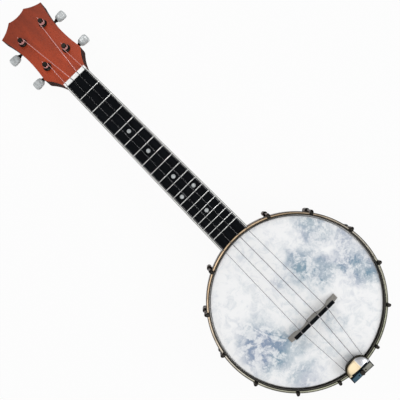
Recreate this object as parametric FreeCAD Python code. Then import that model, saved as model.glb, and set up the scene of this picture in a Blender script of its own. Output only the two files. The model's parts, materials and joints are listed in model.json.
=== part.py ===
import FreeCAD, Part
import math
import os

# A four-string banjo ukulele: a drum-headed pot, a fretted neck with a tilted head,
# four geared tuners, a floating bridge and a tailpiece with a lifting cover.
# Lengths are in millimetres and angles in degrees.  +X runs from the head of the neck
# to the tail, +Z is up, and the back edge of the rim rests on Z = 0.
# "n" is the distance behind the front edge of the nut, so row X = nut_x + n.

Vector = FreeCAD.Vector
UP = Vector(0, 0, 1)
TAILWARD = Vector(1, 0, 0)
SIDEWAYS = Vector(0, 1, 0)

# ---------------------------------------------------------------- clearances
running_gap = 0.05          # radial, round every turning shaft
seat_gap = 0.05             # between fixed pieces that fit inside one another
free_gap = 0.3              # between pieces that must stay apart

# ---------------------------------------------------------------- strings and scale
scale_length = 381.0
fret_count = 18
string_radii = [0.35, 0.45, 0.42, 0.32]
nut_spacing = 9.4
bridge_spacing = 13.6
tail_spacing = 8.8

# ---------------------------------------------------------------- pot
pot_from_nut = 367.0
rim_radius = 100.4
rim_wall = 12.0
rim_height = 60.0
tone_ring_width = 4.5
tone_ring_height = 5.5
head_thickness = 0.5
head_collar_drop = 7.0
flesh_hoop_width = 1.8
flesh_hoop_height = 3.0
hoop_wall = 3.05            # thickness of the tension hoop outside the flesh hoop
hoop_width = 4.0            # its upper lip, which reaches in over the flesh hoop
hoop_height = 14.5
hoop_rise = 4.0
hoop_groove_width = 1.5
hoop_groove_depth = 1.0
hoop_groove_inset = 1.1

# ---------------------------------------------------------------- hooks and shoes
hook_count = 12
hook_first_angle = 26.0     # from the neck
hook_tail_angle = 16.5      # from the tailpiece
hook_rod_radius = 1.5
hook_claw_width = 4.4
hook_claw_thickness = 2.6
shoe_boss_radius = 3.1
shoe_boss_height = 10.0
shoe_height = 39.0
shoe_plate = (9.0, 16.0, 2.6)
shoe_web_width = 4.4
shoe_bolt_radius = 2.0
shoe_bolt_head_radius = 3.8
shoe_bolt_head_height = 2.0
hook_nut_flats = 5.6
hook_nut_height = 8.0
hook_thread_stand = 2.5

# ---------------------------------------------------------------- neck and fretboard
board_rise = 1.0            # fretboard top above the tension hoop
board_thickness = 5.0
board_half_width_nut = 16.5
board_half_width_last_fret = 20.8
binding_width = 1.5
neck_depth_nut = 14.5
neck_depth_heel = 16.5
heel_reach = 46.0           # heel begins this far before the rim
heel_bottom = 14.0
heel_half_width = 8.5
heel_length = 20.0
nut_length = 5.1
nut_height = 6.75
string_over_nut = 0.15      # the top of the nut above each string's centre line
string_lead_in = 0.03       # each string meets its turns this far outside their centre line
fret_crown_width = 2.0
fret_crown_height = 1.0
fret_tang_width = 0.5
fret_tang_depth = 2.0
dot_radius = 2.5
dot_depth = 1.5
dot_frets = [5, 7, 10, 15]
double_dot_fret = 12
double_dot_offset = 9.5

# ---------------------------------------------------------------- head of the neck
head_tilt = 13.0
head_step = 2.2             # the face starts this far below the nut's ledge
head_block = 15.0
head_shoulder = (28.0, 28.8)
head_waist = (64.0, 26.8)
head_tip = (109.9, 33.3)
head_cusp = (120.6, 12.8)
head_centre_dip = 118.0

# ---------------------------------------------------------------- tuners
near_post = (39.4, 15.7)    # along the face from the nut, and out from the centre line
far_post = (86.0, 16.9)
post_radius = 3.0
post_waist_radius = 2.5
post_stand = 9.0
post_waist = (1.9, 6.0)
bushing_flange_radius = 5.25
bushing_flange_height = 1.5
bushing_sleeve_radius = 4.2
bushing_sleeve_length = 10.0
gear_centres = 5.0
wheel_teeth = 14
wheel_pitch_radius = 3.3
tooth_height = 0.7
tooth_tip_width = 0.32
tooth_root_width = 0.72
wheel_thickness = 2.6
worm_thread_length = 7.0
worm_shaft_radius = 1.2
thread_crest_width = 0.30
thread_base_width = 0.60
gear_drop = 4.8             # worm axis below the back of the head
plate_thickness = 1.2
plate_half_width = 6.0
ear_thickness = 1.4
plate_screw_radius = 1.0
plate_screw_head = 1.9
plate_screw_length = 7.0
wheel_stub_radius = 1.6
button_reach = 22.6         # button centre out from the post
button_width = 13.4
button_height = 12.6
button_thickness = 5.6
stem_radius = 1.6
stem_collar_radius = 2.4

# ---------------------------------------------------------------- bridge
bridge_from_nut = 393.1
bridge_height = 13.6
bridge_cap_length = 61.5
bridge_cap_width = 4.0
bridge_cap_height = 2.5
bridge_foot_span = 75.0
bridge_foot_depth = 6.6
bridge_foot_length = 11.0
bridge_arch_height = 6.0
bridge_foot_rise = 2.4
bridge_string_room = 0.6    # round each string, so that the bridge can be shifted

# ---------------------------------------------------------------- rod and tail
rod_height = 26.0
rod_radius = 5.0
upper_bolt_height = 46.0
bolt_in_rod = 14.0           # both ends of the rod take a bolt this deep
rod_bore_room = 2.0         # left beyond each bolt's end
hanger_radius = 3.0
hanger_in_heel = 26.0
washer_radius = 8.0
washer_thickness = 1.2
hanger_nut_flats = 10.0
hanger_nut_height = 5.0
tail_plate = (18.0, 30.0, 2.5)
tail_shelf_height = 38.0
tail_shelf_thickness = 3.0
tail_shelf_slot = 8.0       # between the end centres of the slot that the tailpiece's bolt slides in
tail_bolt_flats = 10.0
tail_bolt_head = 4.0

# ---------------------------------------------------------------- tailpiece
tail_angle = -1.5           # the tailpiece hangs a little to one side of the centre line
tail_block_length = 6.3
tail_block_half_width = 15.5
tail_block_rise = 3.6       # top of the block above the hoop
tail_block_drop = 12.0
tail_plate_thickness = 1.6
tail_bolt_radius = 2.0
tail_bolt_hex = 5.5
tail_bolt_hex_height = 2.0
tail_pin_hole_radius = 0.8
tail_pin_hole_offset = 5.2
tail_pin_hole_depth = 4.0
cover_depth = 12.0
cover_half_width = 15.8
cover_roundness = 2.5
cover_crown = 10.8          # top of the cover above the hoop
cover_wall_base = 5.7       # lower edge of its wall above the hoop
cover_dome_radius = 40.0
cover_skin = 1.0
hinge_before_block = 4.0    # hinge's axis ahead of the hoop's outer face
cover_before_hinge = 1.4
hinge_radius = 1.7
hinge_pin_radius = 0.8
hinge_room = 0.5            # between the hinge's barrel and the block behind it
hinge_half_length = 10.8
string_over_tail = 3.7      # string centres above the hoop where they enter the comb
comb_thickness = 1.4
comb_before_knot = 2.2
knot_before_cover = 2.2     # ahead of the cover's back edge
knot_radius = 1.1

# ---------------------------------------------------------------- worked-out places
head_top = rim_height + tone_ring_height + head_thickness
hoop_top = head_top + hoop_rise
hoop_bottom = hoop_top - hoop_height
board_top = hoop_top + board_rise
neck_top = board_top - board_thickness
hoop_radius = rim_radius + head_thickness + seat_gap + flesh_hoop_width + 2.0 * free_gap + hoop_wall
nut_top = neck_top + nut_height
string_at_nut = nut_top - string_over_nut
fret_top = board_top + fret_crown_height
string_at_bridge = head_top + bridge_height + string_over_nut
string_at_tail = hoop_top + string_over_tail
tilt = math.radians(head_tilt)
face_start = neck_top - head_step + nut_length * math.tan(tilt)
board_end = pot_from_nut - hoop_radius - free_gap
hook_radius = hoop_radius + free_gap + hook_rod_radius
block_front = pot_from_nut + hoop_radius + free_gap
tail_end = block_front + tail_block_length
tip_end = -head_cusp[0] * math.cos(tilt)
nut_x = -(tail_end + tip_end) / 2.0
pot_centre = Vector(nut_x + pot_from_nut, 0, 0)
face_origin = Vector(nut_x, 0, face_start)
face_frame = FreeCAD.Placement(face_origin, FreeCAD.Rotation(SIDEWAYS, -head_tilt))
hinge_n = block_front - hinge_before_block
hinge_z = hoop_top + 6.0
cover_back = hinge_n - cover_before_hinge
knot_n = cover_back - knot_before_cover
comb_n = knot_n - comb_before_knot

nodes = {}


# ---------------------------------------------------------------- helpers
def place(n, y, z):
    """Point n behind the nut's front edge."""
    return Vector(nut_x + n, y, z)


def block(n_low, n_high, y_low, y_high, z_low, z_high):
    """Box between two corners, its first pair measured from the nut."""
    corner = place(n_low, y_low, z_low)
    return Part.makeBox(n_high - n_low, y_high - y_low, z_high - z_low, corner)


def rod(start, end, radius):
    """Round bar between two points."""
    direction = end - start
    return Part.makeCylinder(radius, direction.Length, start, direction)


def fuse(shapes):
    """One solid from shapes that overlap."""
    whole = shapes[0]
    for shape in shapes[1:]:
        whole = whole.fuse(shape)
    return whole.removeSplitter()


def prism(points, travel):
    """Closed polygon swept straight along a vector."""
    outline = Part.makePolygon(points + [points[0]])
    return Part.Face(outline).extrude(travel)


def rounded_prism(points, radii, travel):
    """Closed polygon with rounded corners swept straight along a vector."""
    count = len(points)
    bends = []
    for index, corner in enumerate(points):
        before = (points[index - 1] - corner).normalize()
        after = (points[(index + 1) % count] - corner).normalize()
        half_angle = before.getAngle(after) / 2.0
        reach = radii[index] / math.tan(half_angle)
        bisector = (before + after).normalize()
        middle = corner + bisector * (radii[index] / math.sin(half_angle) - radii[index])
        bends.append((corner + before * reach, middle, corner + after * reach))
    edges = []
    for index, (start, middle, end) in enumerate(bends):
        if radii[index] > 0:
            edges.append(Part.Arc(start, middle, end).toShape())
        edges.append(Part.LineSegment(end, bends[(index + 1) % count][0]).toShape())
    return Part.Face(Part.Wire(edges)).extrude(travel)


def turned(profile):
    """Ring or disc about the pot's axis, from (radius, height) corners."""
    points = [Vector(pot_centre.x + radius, 0, height) for radius, height in profile]
    outline = Part.makePolygon(points + [points[0]])
    return Part.Face(outline).revolve(pot_centre, UP, 360)


def hex_bar(start, direction, flats, length):
    """Six-sided bar from a point along a vector."""
    rotation = FreeCAD.Rotation(UP, direction)
    corner_radius = flats / math.sqrt(3.0)
    corners = []
    for index in range(6):
        angle = math.radians(60.0 * index)
        flat_point = Vector(corner_radius * math.cos(angle), corner_radius * math.sin(angle), 0)
        corners.append(start + rotation.multVec(flat_point))
    return prism(corners, rotation.multVec(UP) * length)


def pot_cylinder(radius, low, high):
    """Solid drum about the pot's axis, used to trim what meets it."""
    return Part.makeCylinder(radius, high - low, pot_centre + Vector(0, 0, low), UP)


def hook_angles():
    """Directions of the hooks, measured from the neck."""
    half = hook_count // 2
    step = (180.0 - hook_first_angle - hook_tail_angle) / (half - 1)
    one_side = [hook_first_angle + step * index for index in range(half)]
    return one_side + [-angle for angle in one_side]


def round_the_pot(shape):
    """A copy of a shape, made on the tail side, at each hook."""
    copies = []
    for angle in hook_angles():
        turned_copy = shape.copy()
        turned_copy.rotate(pot_centre, UP, 180.0 + angle)
        copies.append(turned_copy)
    return Part.makeCompound(copies)


def board_half_width(n):
    """Half the fretboard's width, binding included."""
    last = fret_place(fret_count)
    return board_half_width_nut + (board_half_width_last_fret - board_half_width_nut) * n / last


def fret_place(number):
    """Distance of a fret from the nut."""
    return scale_length * (1.0 - 2.0 ** (-number / 12.0))


def string_side(index, spacing):
    """Sideways place of a string, the first on the +Y side."""
    return (1.5 - index) * spacing


def at_tail(point):
    """A tailpiece point turned with the tailpiece about the pot's axis."""
    rotation = FreeCAD.Rotation(UP, tail_angle)
    return pot_centre + rotation.multVec(point - pot_centre)


def turn_tail(shape):
    """A tailpiece piece turned about the pot's axis."""
    moved = shape.copy()
    moved.rotate(pot_centre, UP, tail_angle)
    return moved


# ---------------------------------------------------------------- pot
def make_rim():
    inner = rim_radius - rim_wall
    rim = turned([(inner, 0), (rim_radius, 0), (rim_radius, rim_height), (inner, rim_height)])
    centre = pot_centre + Vector(0, 0, shoe_height)
    drill_length = rim_wall + 4.0
    bolt_hole = Part.makeCylinder(shoe_bolt_radius + seat_gap, drill_length,
                                  centre + Vector(inner - 2.0, 0, 0), TAILWARD)
    rim = rim.cut(round_the_pot(bolt_hole))
    for height in (rod_height, upper_bolt_height):
        start = place(pot_from_nut - rim_radius - 2.0, 0, height)
        rim = rim.cut(Part.makeCylinder(hanger_radius + seat_gap, drill_length, start, TAILWARD))
    start = place(pot_from_nut + inner - 2.0, 0, rod_height)
    return rim.cut(Part.makeCylinder(hanger_radius + seat_gap, drill_length, start, TAILWARD))


def make_tone_ring():
    inner = rim_radius - tone_ring_width
    top = rim_height + tone_ring_height
    edge = 0.8
    return turned([(inner, rim_height), (rim_radius, rim_height), (rim_radius, top - edge),
                   (rim_radius - edge, top), (inner + edge, top), (inner, top - edge)])


def make_head_skin():
    inner = rim_radius + free_gap
    outer = inner + head_thickness
    under = head_top - head_thickness
    bottom = head_top - head_collar_drop
    edge = 0.8
    return turned([(0, under), (rim_radius - edge, under), (inner, under - edge), (inner, bottom),
                   (outer, bottom), (outer, under - edge / 2.0), (rim_radius - edge / 2.0, head_top),
                   (0, head_top)])


def flesh_hoop_radii():
    inner = rim_radius + free_gap + head_thickness + seat_gap
    return inner, inner + flesh_hoop_width


def flesh_hoop_levels():
    bottom = head_top - head_collar_drop
    return bottom, bottom + flesh_hoop_height


def make_flesh_hoop():
    inner, outer = flesh_hoop_radii()
    bottom, top = flesh_hoop_levels()
    return turned([(inner, bottom), (outer, bottom), (outer, top), (inner, top)])


def make_tension_hoop():
    inner = hoop_radius - hoop_width
    rebate = flesh_hoop_radii()[1] + free_gap
    ledge = flesh_hoop_levels()[1]
    groove_out = hoop_radius - hoop_groove_inset
    groove_in = groove_out - hoop_groove_width
    groove_floor = hoop_top - hoop_groove_depth
    edge = 0.9
    return turned([(rebate, hoop_bottom), (hoop_radius, hoop_bottom), (hoop_radius, hoop_top - edge),
                   (hoop_radius - edge, hoop_top), (groove_out, hoop_top), (groove_out, groove_floor),
                   (groove_in, groove_floor), (groove_in, hoop_top), (inner + edge / 2.0, hoop_top),
                   (inner, hoop_top - edge / 2.0), (inner, ledge), (rebate, ledge)])


# ---------------------------------------------------------------- hooks and shoes
def make_hook():
    """J-shaped hook on the tail side: rod outside the hoop, claw over it, tip in its groove."""
    outside = hook_radius + hook_rod_radius
    inside = hook_radius - hook_rod_radius
    under = hoop_top + seat_gap
    top = under + hook_claw_thickness
    groove_out = hoop_radius - hoop_groove_inset
    tip_out = groove_out - seat_gap
    tip_in = groove_out - hoop_groove_width + seat_gap
    tip_low = hoop_top - hoop_groove_depth + seat_gap
    skirt = hoop_top - 3.0
    profile = [(outside, skirt), (outside, top), (tip_in, top), (tip_in, tip_low),
               (tip_out, tip_low), (tip_out, under), (inside, under), (inside, skirt)]
    radii = [0, 1.9, 1.3, 0, 0, 0, 0, 0]
    half = hook_claw_width / 2.0
    points = [Vector(pot_centre.x + radius, -half, height) for radius, height in profile]
    claw = rounded_prism(points, radii, Vector(0, hook_claw_width, 0))
    low = shoe_height - shoe_boss_height / 2.0 - hook_nut_height - hook_thread_stand
    axis = pot_centre + Vector(hook_radius, 0, 0)
    stem = rod(axis + Vector(0, 0, low), axis + Vector(0, 0, hoop_top), hook_rod_radius)
    return fuse([claw, stem])


def make_shoe():
    """Bracket on the rim: flanged plate, web and a boss that the hook passes through."""
    width, height, thickness = shoe_plate
    low = shoe_height - shoe_boss_height / 2.0
    axis = pot_centre + Vector(hook_radius, 0, low)
    boss = Part.makeCylinder(shoe_boss_radius, shoe_boss_height, axis, UP)
    boss = boss.makeFillet(0.8, [edge for edge in boss.Edges if edge.Curve.TypeId == "Part::GeomCircle"])
    plate_low = shoe_height - height / 2.0
    plate = Part.makeBox(thickness + 1.0, width, height,
                         pot_centre + Vector(rim_radius - 1.0, -width / 2.0, plate_low))
    web = Part.makeBox(hook_radius - rim_radius, shoe_web_width, shoe_boss_height - 2.0,
                       pot_centre + Vector(rim_radius, -shoe_web_width / 2.0, low + 1.0))
    shoe = fuse([boss, plate, web])
    shoe = shoe.cut(pot_cylinder(rim_radius + 0.02, 0, rim_height))
    shoe = shoe.cut(Part.makeCylinder(hook_rod_radius + seat_gap, rim_height, axis - UP * 10.0, UP))
    bolt_start = pot_centre + Vector(rim_radius - 1.0, 0, shoe_height)
    bolt_hole = Part.makeCylinder(shoe_bolt_radius + seat_gap, shoe_bolt_reach() + 1.5, bolt_start, TAILWARD)
    return shoe.cut(bolt_hole)


def shoe_bolt_reach():
    """How far the shoe's bolt stands out of the rim, short of the hook."""
    return shoe_plate[2] + 2.0


def make_shoe_bolt():
    """Dome-headed bolt from inside the rim into the shoe."""
    inner = rim_radius - rim_wall
    seat = math.sqrt(inner ** 2 - shoe_bolt_head_radius ** 2) - seat_gap
    start = pot_centre + Vector(seat, 0, shoe_height)
    shank = Part.makeCylinder(shoe_bolt_radius, rim_radius + shoe_bolt_reach() - seat, start, TAILWARD)
    head_start = start - TAILWARD * shoe_bolt_head_height
    head = Part.makeCone(shoe_bolt_head_radius * 0.7, shoe_bolt_head_radius, shoe_bolt_head_height,
                         head_start, TAILWARD)
    return fuse([head, shank])


def make_hook_nut():
    top = shoe_height - shoe_boss_height / 2.0
    start = pot_centre + Vector(hook_radius, 0, top - hook_nut_height)
    nut = hex_bar(start, UP, hook_nut_flats, hook_nut_height)
    return nut.cut(Part.makeCylinder(hook_rod_radius + seat_gap, hook_nut_height, start, UP))


# ---------------------------------------------------------------- neck
def neck_section(n):
    """D-shaped section of the neck shaft: flat top and half-ellipse back."""
    half = board_half_width(n)
    heel_start = pot_from_nut - rim_radius - heel_reach
    depth = neck_depth_nut + (neck_depth_heel - neck_depth_nut) * n / heel_start
    left = place(n, half, neck_top)
    right = place(n, -half, neck_top)
    long_way = max(half, depth)
    short_way = min(half, depth)
    major = SIDEWAYS if half >= depth else -UP
    centre = place(n, 0, neck_top)
    curve = Part.Ellipse(centre + major * long_way,
                         centre + TAILWARD.cross(major) * short_way, centre)
    start = curve.parameter(right)
    end = curve.parameter(left)
    bottom = place(n, 0, neck_top - depth)
    arc = Part.Arc(curve, start, end)
    if arc.toShape().distToShape(Part.Vertex(bottom))[0] > 0.01:
        arc = Part.Arc(curve, end, start)
    return Part.Wire([Part.LineSegment(left, right).toShape(), arc.toShape()])


def heel_section(z, half, nose_n):
    """Level section of the heel: square against the pot and elliptical towards the nut."""
    back = pot_from_nut - rim_radius + 12.0
    side_n = nose_n + (back - nose_n) * 0.55
    nose = place(nose_n, 0, z)
    left = place(side_n, half, z)
    right = place(side_n, -half, z)
    slant = 0.72
    left_mid = place(side_n - (side_n - nose_n) * slant, half * slant, z)
    right_mid = place(side_n - (side_n - nose_n) * slant, -half * slant, z)
    curve = Part.BSplineCurve()
    curve.interpolate([left, left_mid, nose, right_mid, right])
    back_left = place(back, half, z)
    back_right = place(back, -half, z)
    return Part.Wire([curve.toShape(), Part.LineSegment(right, back_right).toShape(),
                      Part.LineSegment(back_right, back_left).toShape(),
                      Part.LineSegment(back_left, left).toShape()])


def head_outline():
    """Outline of the head in its own frame: X back towards the nut, Y sideways."""
    start_p = nut_length - 1.0
    neck_corner = (start_p, board_half_width_nut)
    scoop_end = (head_shoulder[0] - 2.5, head_shoulder[1] - 1.4)
    scoop_mid = (head_shoulder[0] * 0.58, head_shoulder[1] * 0.735)
    corner_end = (head_shoulder[0] + 4.5, head_shoulder[1] - 0.1)
    corner_mid = (head_shoulder[0] + 0.5, head_shoulder[1] + 0.15)
    outer_mid = ((head_tip[0] + head_cusp[0]) / 2.0 - 1.3, (head_tip[1] + head_cusp[1]) / 2.0 - 0.6)

    def point(pair, side):
        return Vector(-pair[0], side * pair[1], 0)

    edges = [Part.LineSegment(point(neck_corner, -1), point(neck_corner, 1)).toShape()]
    right = [(neck_corner, scoop_mid, scoop_end), (scoop_end, corner_mid, corner_end),
             (corner_end, head_waist, head_tip), (head_tip, outer_mid, head_cusp)]
    for start, middle, end in right:
        edges.append(Part.Arc(point(start, 1), point(middle, 1), point(end, 1)).toShape())
    dip = Vector(-head_centre_dip, 0, 0)
    edges.append(Part.Arc(point(head_cusp, 1), dip, point(head_cusp, -1)).toShape())
    for start, middle, end in reversed(right):
        edges.append(Part.Arc(point(end, -1), point(middle, -1), point(start, -1)).toShape())
    return Part.Wire(edges)


def make_headstock():
    """Head block in its own frame, its face at height 0."""
    return Part.Face(head_outline()).extrude(Vector(0, 0, -head_block))


def make_neck():
    heel_start = pot_from_nut - rim_radius - heel_reach
    ends = [-nut_length, 0.0, heel_start * 0.33, heel_start * 0.67, heel_start, board_end + 12.0]
    shaft = Part.makeLoft([neck_section(n) for n in ends], True, False)
    toe = pot_from_nut - rim_radius - heel_length
    heel_levels = [(neck_top - 9.0, board_half_width(heel_start) - 1.5, heel_start - 10.0),
                   (neck_top - neck_depth_heel, 17.0, heel_start + 2.0),
                   (neck_top - 27.0, 14.5, toe - 9.0),
                   (heel_bottom + 12.0, heel_half_width + 2.5, toe - 1.0),
                   (heel_bottom, heel_half_width, toe + 1.0)]
    heel = Part.makeLoft([heel_section(*level) for level in heel_levels], True, False)
    head = make_headstock()
    head.Placement = face_frame
    neck = fuse([shaft, heel, head])
    neck = neck.cut(pot_cylinder(rim_radius + 0.02, 0, hoop_bottom - free_gap))
    neck = neck.cut(pot_cylinder(hoop_radius + free_gap, hoop_bottom - free_gap - 0.01, board_top + 5.0))
    for height in (rod_height, upper_bolt_height):
        start = place(pot_from_nut - rim_radius - hanger_in_heel - 1.0, 0, height)
        neck = neck.cut(Part.makeCylinder(hanger_radius + seat_gap, hanger_in_heel + 10.0, start, TAILWARD))
    for along_face, out in (near_post, far_post):
        for side in (1, -1):
            neck = neck.cut(post_bore(along_face, side * out))
    return neck


def post_bore(along_face, out):
    """Hole for one tuner's bushing and post, with its plate's screw holes."""
    holes = [Part.makeCylinder(bushing_sleeve_radius + seat_gap, head_block + 2.0,
                               Vector(-along_face, out, -head_block - 1.0), UP)]
    for offset in plate_screw_places():
        start = Vector(-along_face - offset, out, -head_block - 1.0)
        holes.append(Part.makeCylinder(plate_screw_radius + seat_gap, plate_screw_length - 0.5, start, UP))
    bore = Part.makeCompound(holes)
    bore.Placement = face_frame
    return bore


def make_fretboard():
    half_start = board_half_width(0) - binding_width
    half_end = board_half_width(board_end + 3.0) - binding_width
    board = tapered_slab(half_start, half_end)
    for number in range(1, fret_count + 1):
        n = fret_place(number)
        slot = fret_tang_width / 2.0 + seat_gap
        wide = board_half_width(n)
        board = board.cut(block(n - slot, n + slot, -wide, wide, board_top - fret_tang_depth - seat_gap,
                                board_top + 1.0))
    for centre in dot_places():
        start = centre - UP * dot_depth
        board = board.cut(Part.makeCylinder(dot_radius + seat_gap, dot_depth + 1.0, start, UP))
    return board


def tapered_slab(half_start, half_end):
    """Tapered board from the nut to the hoop, its end hollowed to follow the hoop."""
    end = board_end + 3.0
    points = [place(0, -half_start, neck_top), place(end, -half_end, neck_top),
              place(end, half_end, neck_top), place(0, half_start, neck_top)]
    slab = prism(points, UP * board_thickness)
    return slab.cut(pot_cylinder(hoop_radius + free_gap, 0, board_top + 5.0))


def make_binding():
    outer = tapered_slab(board_half_width(0), board_half_width(board_end + 3.0))
    inner = tapered_slab(board_half_width(0) - binding_width,
                         board_half_width(board_end + 3.0) - binding_width)
    return outer.cut(inner)


def make_frets():
    frets = []
    for number in range(1, fret_count + 1):
        n = fret_place(number)
        half = board_half_width(n) - 0.2
        left = place(n - fret_crown_width / 2.0, -half, board_top)
        top = place(n, -half, fret_top)
        right = place(n + fret_crown_width / 2.0, -half, board_top)
        outline = Part.Wire([Part.Arc(left, top, right).toShape(), Part.LineSegment(right, left).toShape()])
        crown = Part.Face(outline).extrude(Vector(0, 2.0 * half, 0))
        tang_half = half - binding_width
        tang = block(n - fret_tang_width / 2.0, n + fret_tang_width / 2.0, -tang_half, tang_half,
                     board_top - fret_tang_depth, board_top + 0.2)
        frets.append(fuse([crown, tang]))
    return Part.makeCompound(frets)


def dot_places():
    """Centres of the position dots on the fretboard's face."""
    centres = []
    for number in dot_frets:
        middle = (fret_place(number - 1) + fret_place(number)) / 2.0
        centres.append(place(middle, 0, board_top))
    middle = (fret_place(double_dot_fret - 1) + fret_place(double_dot_fret)) / 2.0
    for side in (1, -1):
        centres.append(place(middle, side * double_dot_offset, board_top))
    return centres


def make_dots():
    return Part.makeCompound([Part.makeCylinder(dot_radius, dot_depth, centre - UP * dot_depth, UP)
                              for centre in dot_places()])


def nut_slot(index):
    """Open slot under and beside a string, sloping with the string towards its post."""
    room = string_radii[index] + seat_gap
    front, back = string_points(index)[2:]
    ahead = (front - back).normalize()
    across = UP.cross(ahead).normalize() * room
    down = UP * room
    start = back
    end = front + ahead * 2.0 * room
    corners = [start - across - down, end - across - down, end + across - down, start + across - down]
    return prism(corners, UP * (4.0 * room + nut_height))


def make_nut():
    half = board_half_width_nut - 0.1
    back_top = nut_top - nut_length * math.tan(tilt)
    points = [place(-nut_length, -half, neck_top), place(0, -half, neck_top), place(0, -half, nut_top),
              place(-nut_length, -half, back_top)]
    nut = prism(points, Vector(0, 2.0 * half, 0))
    for index in range(len(string_radii)):
        nut = nut.cut(nut_slot(index))
    return nut


# ---------------------------------------------------------------- strings
def string_post(index):
    """The tuner of a string: outer strings use the near posts, inner strings the far ones."""
    along_face, out = near_post if index in (0, 3) else far_post
    side = 1 if index < 2 else -1
    return along_face, side * out


def coil_radius(index):
    return post_waist_radius + 0.12 + string_radii[index]


def coil_height(index, turn):
    """Height of a turn's centre above the head's face."""
    return post_waist[1] - string_radii[index] - 0.35 - turn * (2.0 * string_radii[index] + 0.04)


def string_points(index):
    """Straight stretches of a string from its knot to where it meets its post."""
    knot = at_tail(place(knot_n, string_side(index, tail_spacing), string_at_tail))
    bridge = place(bridge_from_nut, string_side(index, bridge_spacing), string_at_bridge)
    nut = place(0, string_side(index, nut_spacing), string_at_nut)
    local_nut = face_frame.inverse().multVec(nut)
    along_face, out = string_post(index)
    gap_x = -along_face - local_nut.x
    gap_y = out - local_nut.y
    distance = math.hypot(gap_x, gap_y)
    side = 1 if out > 0 else -1
    wrap_radius = coil_radius(index) + string_lead_in
    heading = math.atan2(gap_y, gap_x) + side * math.asin(wrap_radius / distance)
    run = math.sqrt(distance ** 2 - wrap_radius ** 2)
    touch = Vector(local_nut.x + run * math.cos(heading), local_nut.y + run * math.sin(heading),
                   coil_height(index, 0))
    return [knot, bridge, nut, face_frame.multVec(touch)]


def string_run(index, radius):
    """The string's straight stretches joined at rounded bends."""
    points = string_points(index)
    pieces = [rod(start, end, radius) for start, end in zip(points, points[1:])]
    pieces += [Part.makeSphere(radius, point) for point in points[1:-1]]
    return fuse(pieces)


def make_string(index):
    """A string with its knot at the tail and its turns round the post."""
    radius = string_radii[index]
    run = string_run(index, radius)
    knot = Part.makeSphere(knot_radius, string_points(index)[0])
    along_face, out = string_post(index)
    turns = []
    for turn in range(3):
        ring = Part.makeTorus(coil_radius(index), radius, Vector(-along_face, out, coil_height(index, turn)), UP)
        ring.Placement = face_frame.multiply(ring.Placement)
        turns.append(ring)
    whole = fuse([run, knot, turns[0]])
    return Part.makeCompound([whole] + turns[1:])


# ---------------------------------------------------------------- tuners
def plate_screw_places():
    """Screw centres along the face from the post, one on each side of the gear."""
    return (-7.0, gear_centres + 5.8)


def worm_depth():
    """Height of the worm's axis in the head's frame."""
    return -head_block - gear_drop


def make_bushing(along_face, out):
    base = Vector(-along_face, out, 0)
    flange = Part.makeCone(bushing_flange_radius, bushing_flange_radius - 1.0, bushing_flange_height, base, UP)
    sleeve = Part.makeCylinder(bushing_sleeve_radius, bushing_sleeve_length,
                               base - UP * bushing_sleeve_length, UP)
    bushing = fuse([flange, sleeve])
    return bushing.cut(Part.makeCylinder(post_radius + running_gap, head_block * 2.0, base - UP * head_block, UP))


def make_tuner_plate(along_face, out):
    """Base plate on the back of the head with two ears that carry the worm."""
    top = -head_block
    low = top - plate_thickness
    x_tip = -along_face - gear_centres - 8.0
    x_nut = -along_face + 9.5
    corners = [Vector(x_tip, out - plate_half_width, low), Vector(x_nut, out - plate_half_width, low),
               Vector(x_nut, out + plate_half_width, low), Vector(x_tip, out + plate_half_width, low)]
    plate = rounded_prism(corners, [2.0] * 4, UP * plate_thickness)
    ears = []
    worm_x = -along_face - gear_centres
    ear_half = 2.4
    for inner in (-plate_half_width, plate_half_width - ear_thickness):
        points = [Vector(worm_x - ear_half, out + inner, low + 0.2), Vector(worm_x + ear_half, out + inner, low + 0.2),
                  Vector(worm_x + ear_half, out + inner, worm_depth() - ear_half),
                  Vector(worm_x - ear_half, out + inner, worm_depth() - ear_half)]
        ears.append(rounded_prism(points, [0, 0, 1.6, 1.6], Vector(0, ear_thickness, 0)))
    plate = fuse([plate] + ears)
    shaft_start = Vector(worm_x, out - plate_half_width - 1.0, worm_depth())
    plate = plate.cut(Part.makeCylinder(worm_shaft_radius + running_gap, 2.0 * plate_half_width + 2.0,
                                        shaft_start, SIDEWAYS))
    plate = plate.cut(Part.makeCylinder(post_radius + running_gap, plate_thickness + 2.0,
                                        Vector(-along_face, out, low - 1.0), UP))
    for offset in plate_screw_places():
        start = Vector(-along_face - offset, out, low - 1.0)
        plate = plate.cut(Part.makeCylinder(plate_screw_radius + seat_gap, plate_thickness + 2.0, start, UP))
    return plate


def make_plate_screws(along_face, out):
    low = -head_block - plate_thickness
    screws = []
    for offset in plate_screw_places():
        base = Vector(-along_face - offset, out, low)
        shank = Part.makeCylinder(plate_screw_radius, plate_screw_length - 1.0, base, UP)
        head = Part.makeCone(plate_screw_head * 0.65, plate_screw_head, 1.1, base - UP * 1.1, UP)
        slot = Part.makeBox(2.0 * plate_screw_head, 0.5, 0.5, base + Vector(-plate_screw_head, -0.25, -1.2))
        screws.append(fuse([shank, head]).cut(slot))
    return screws


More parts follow.
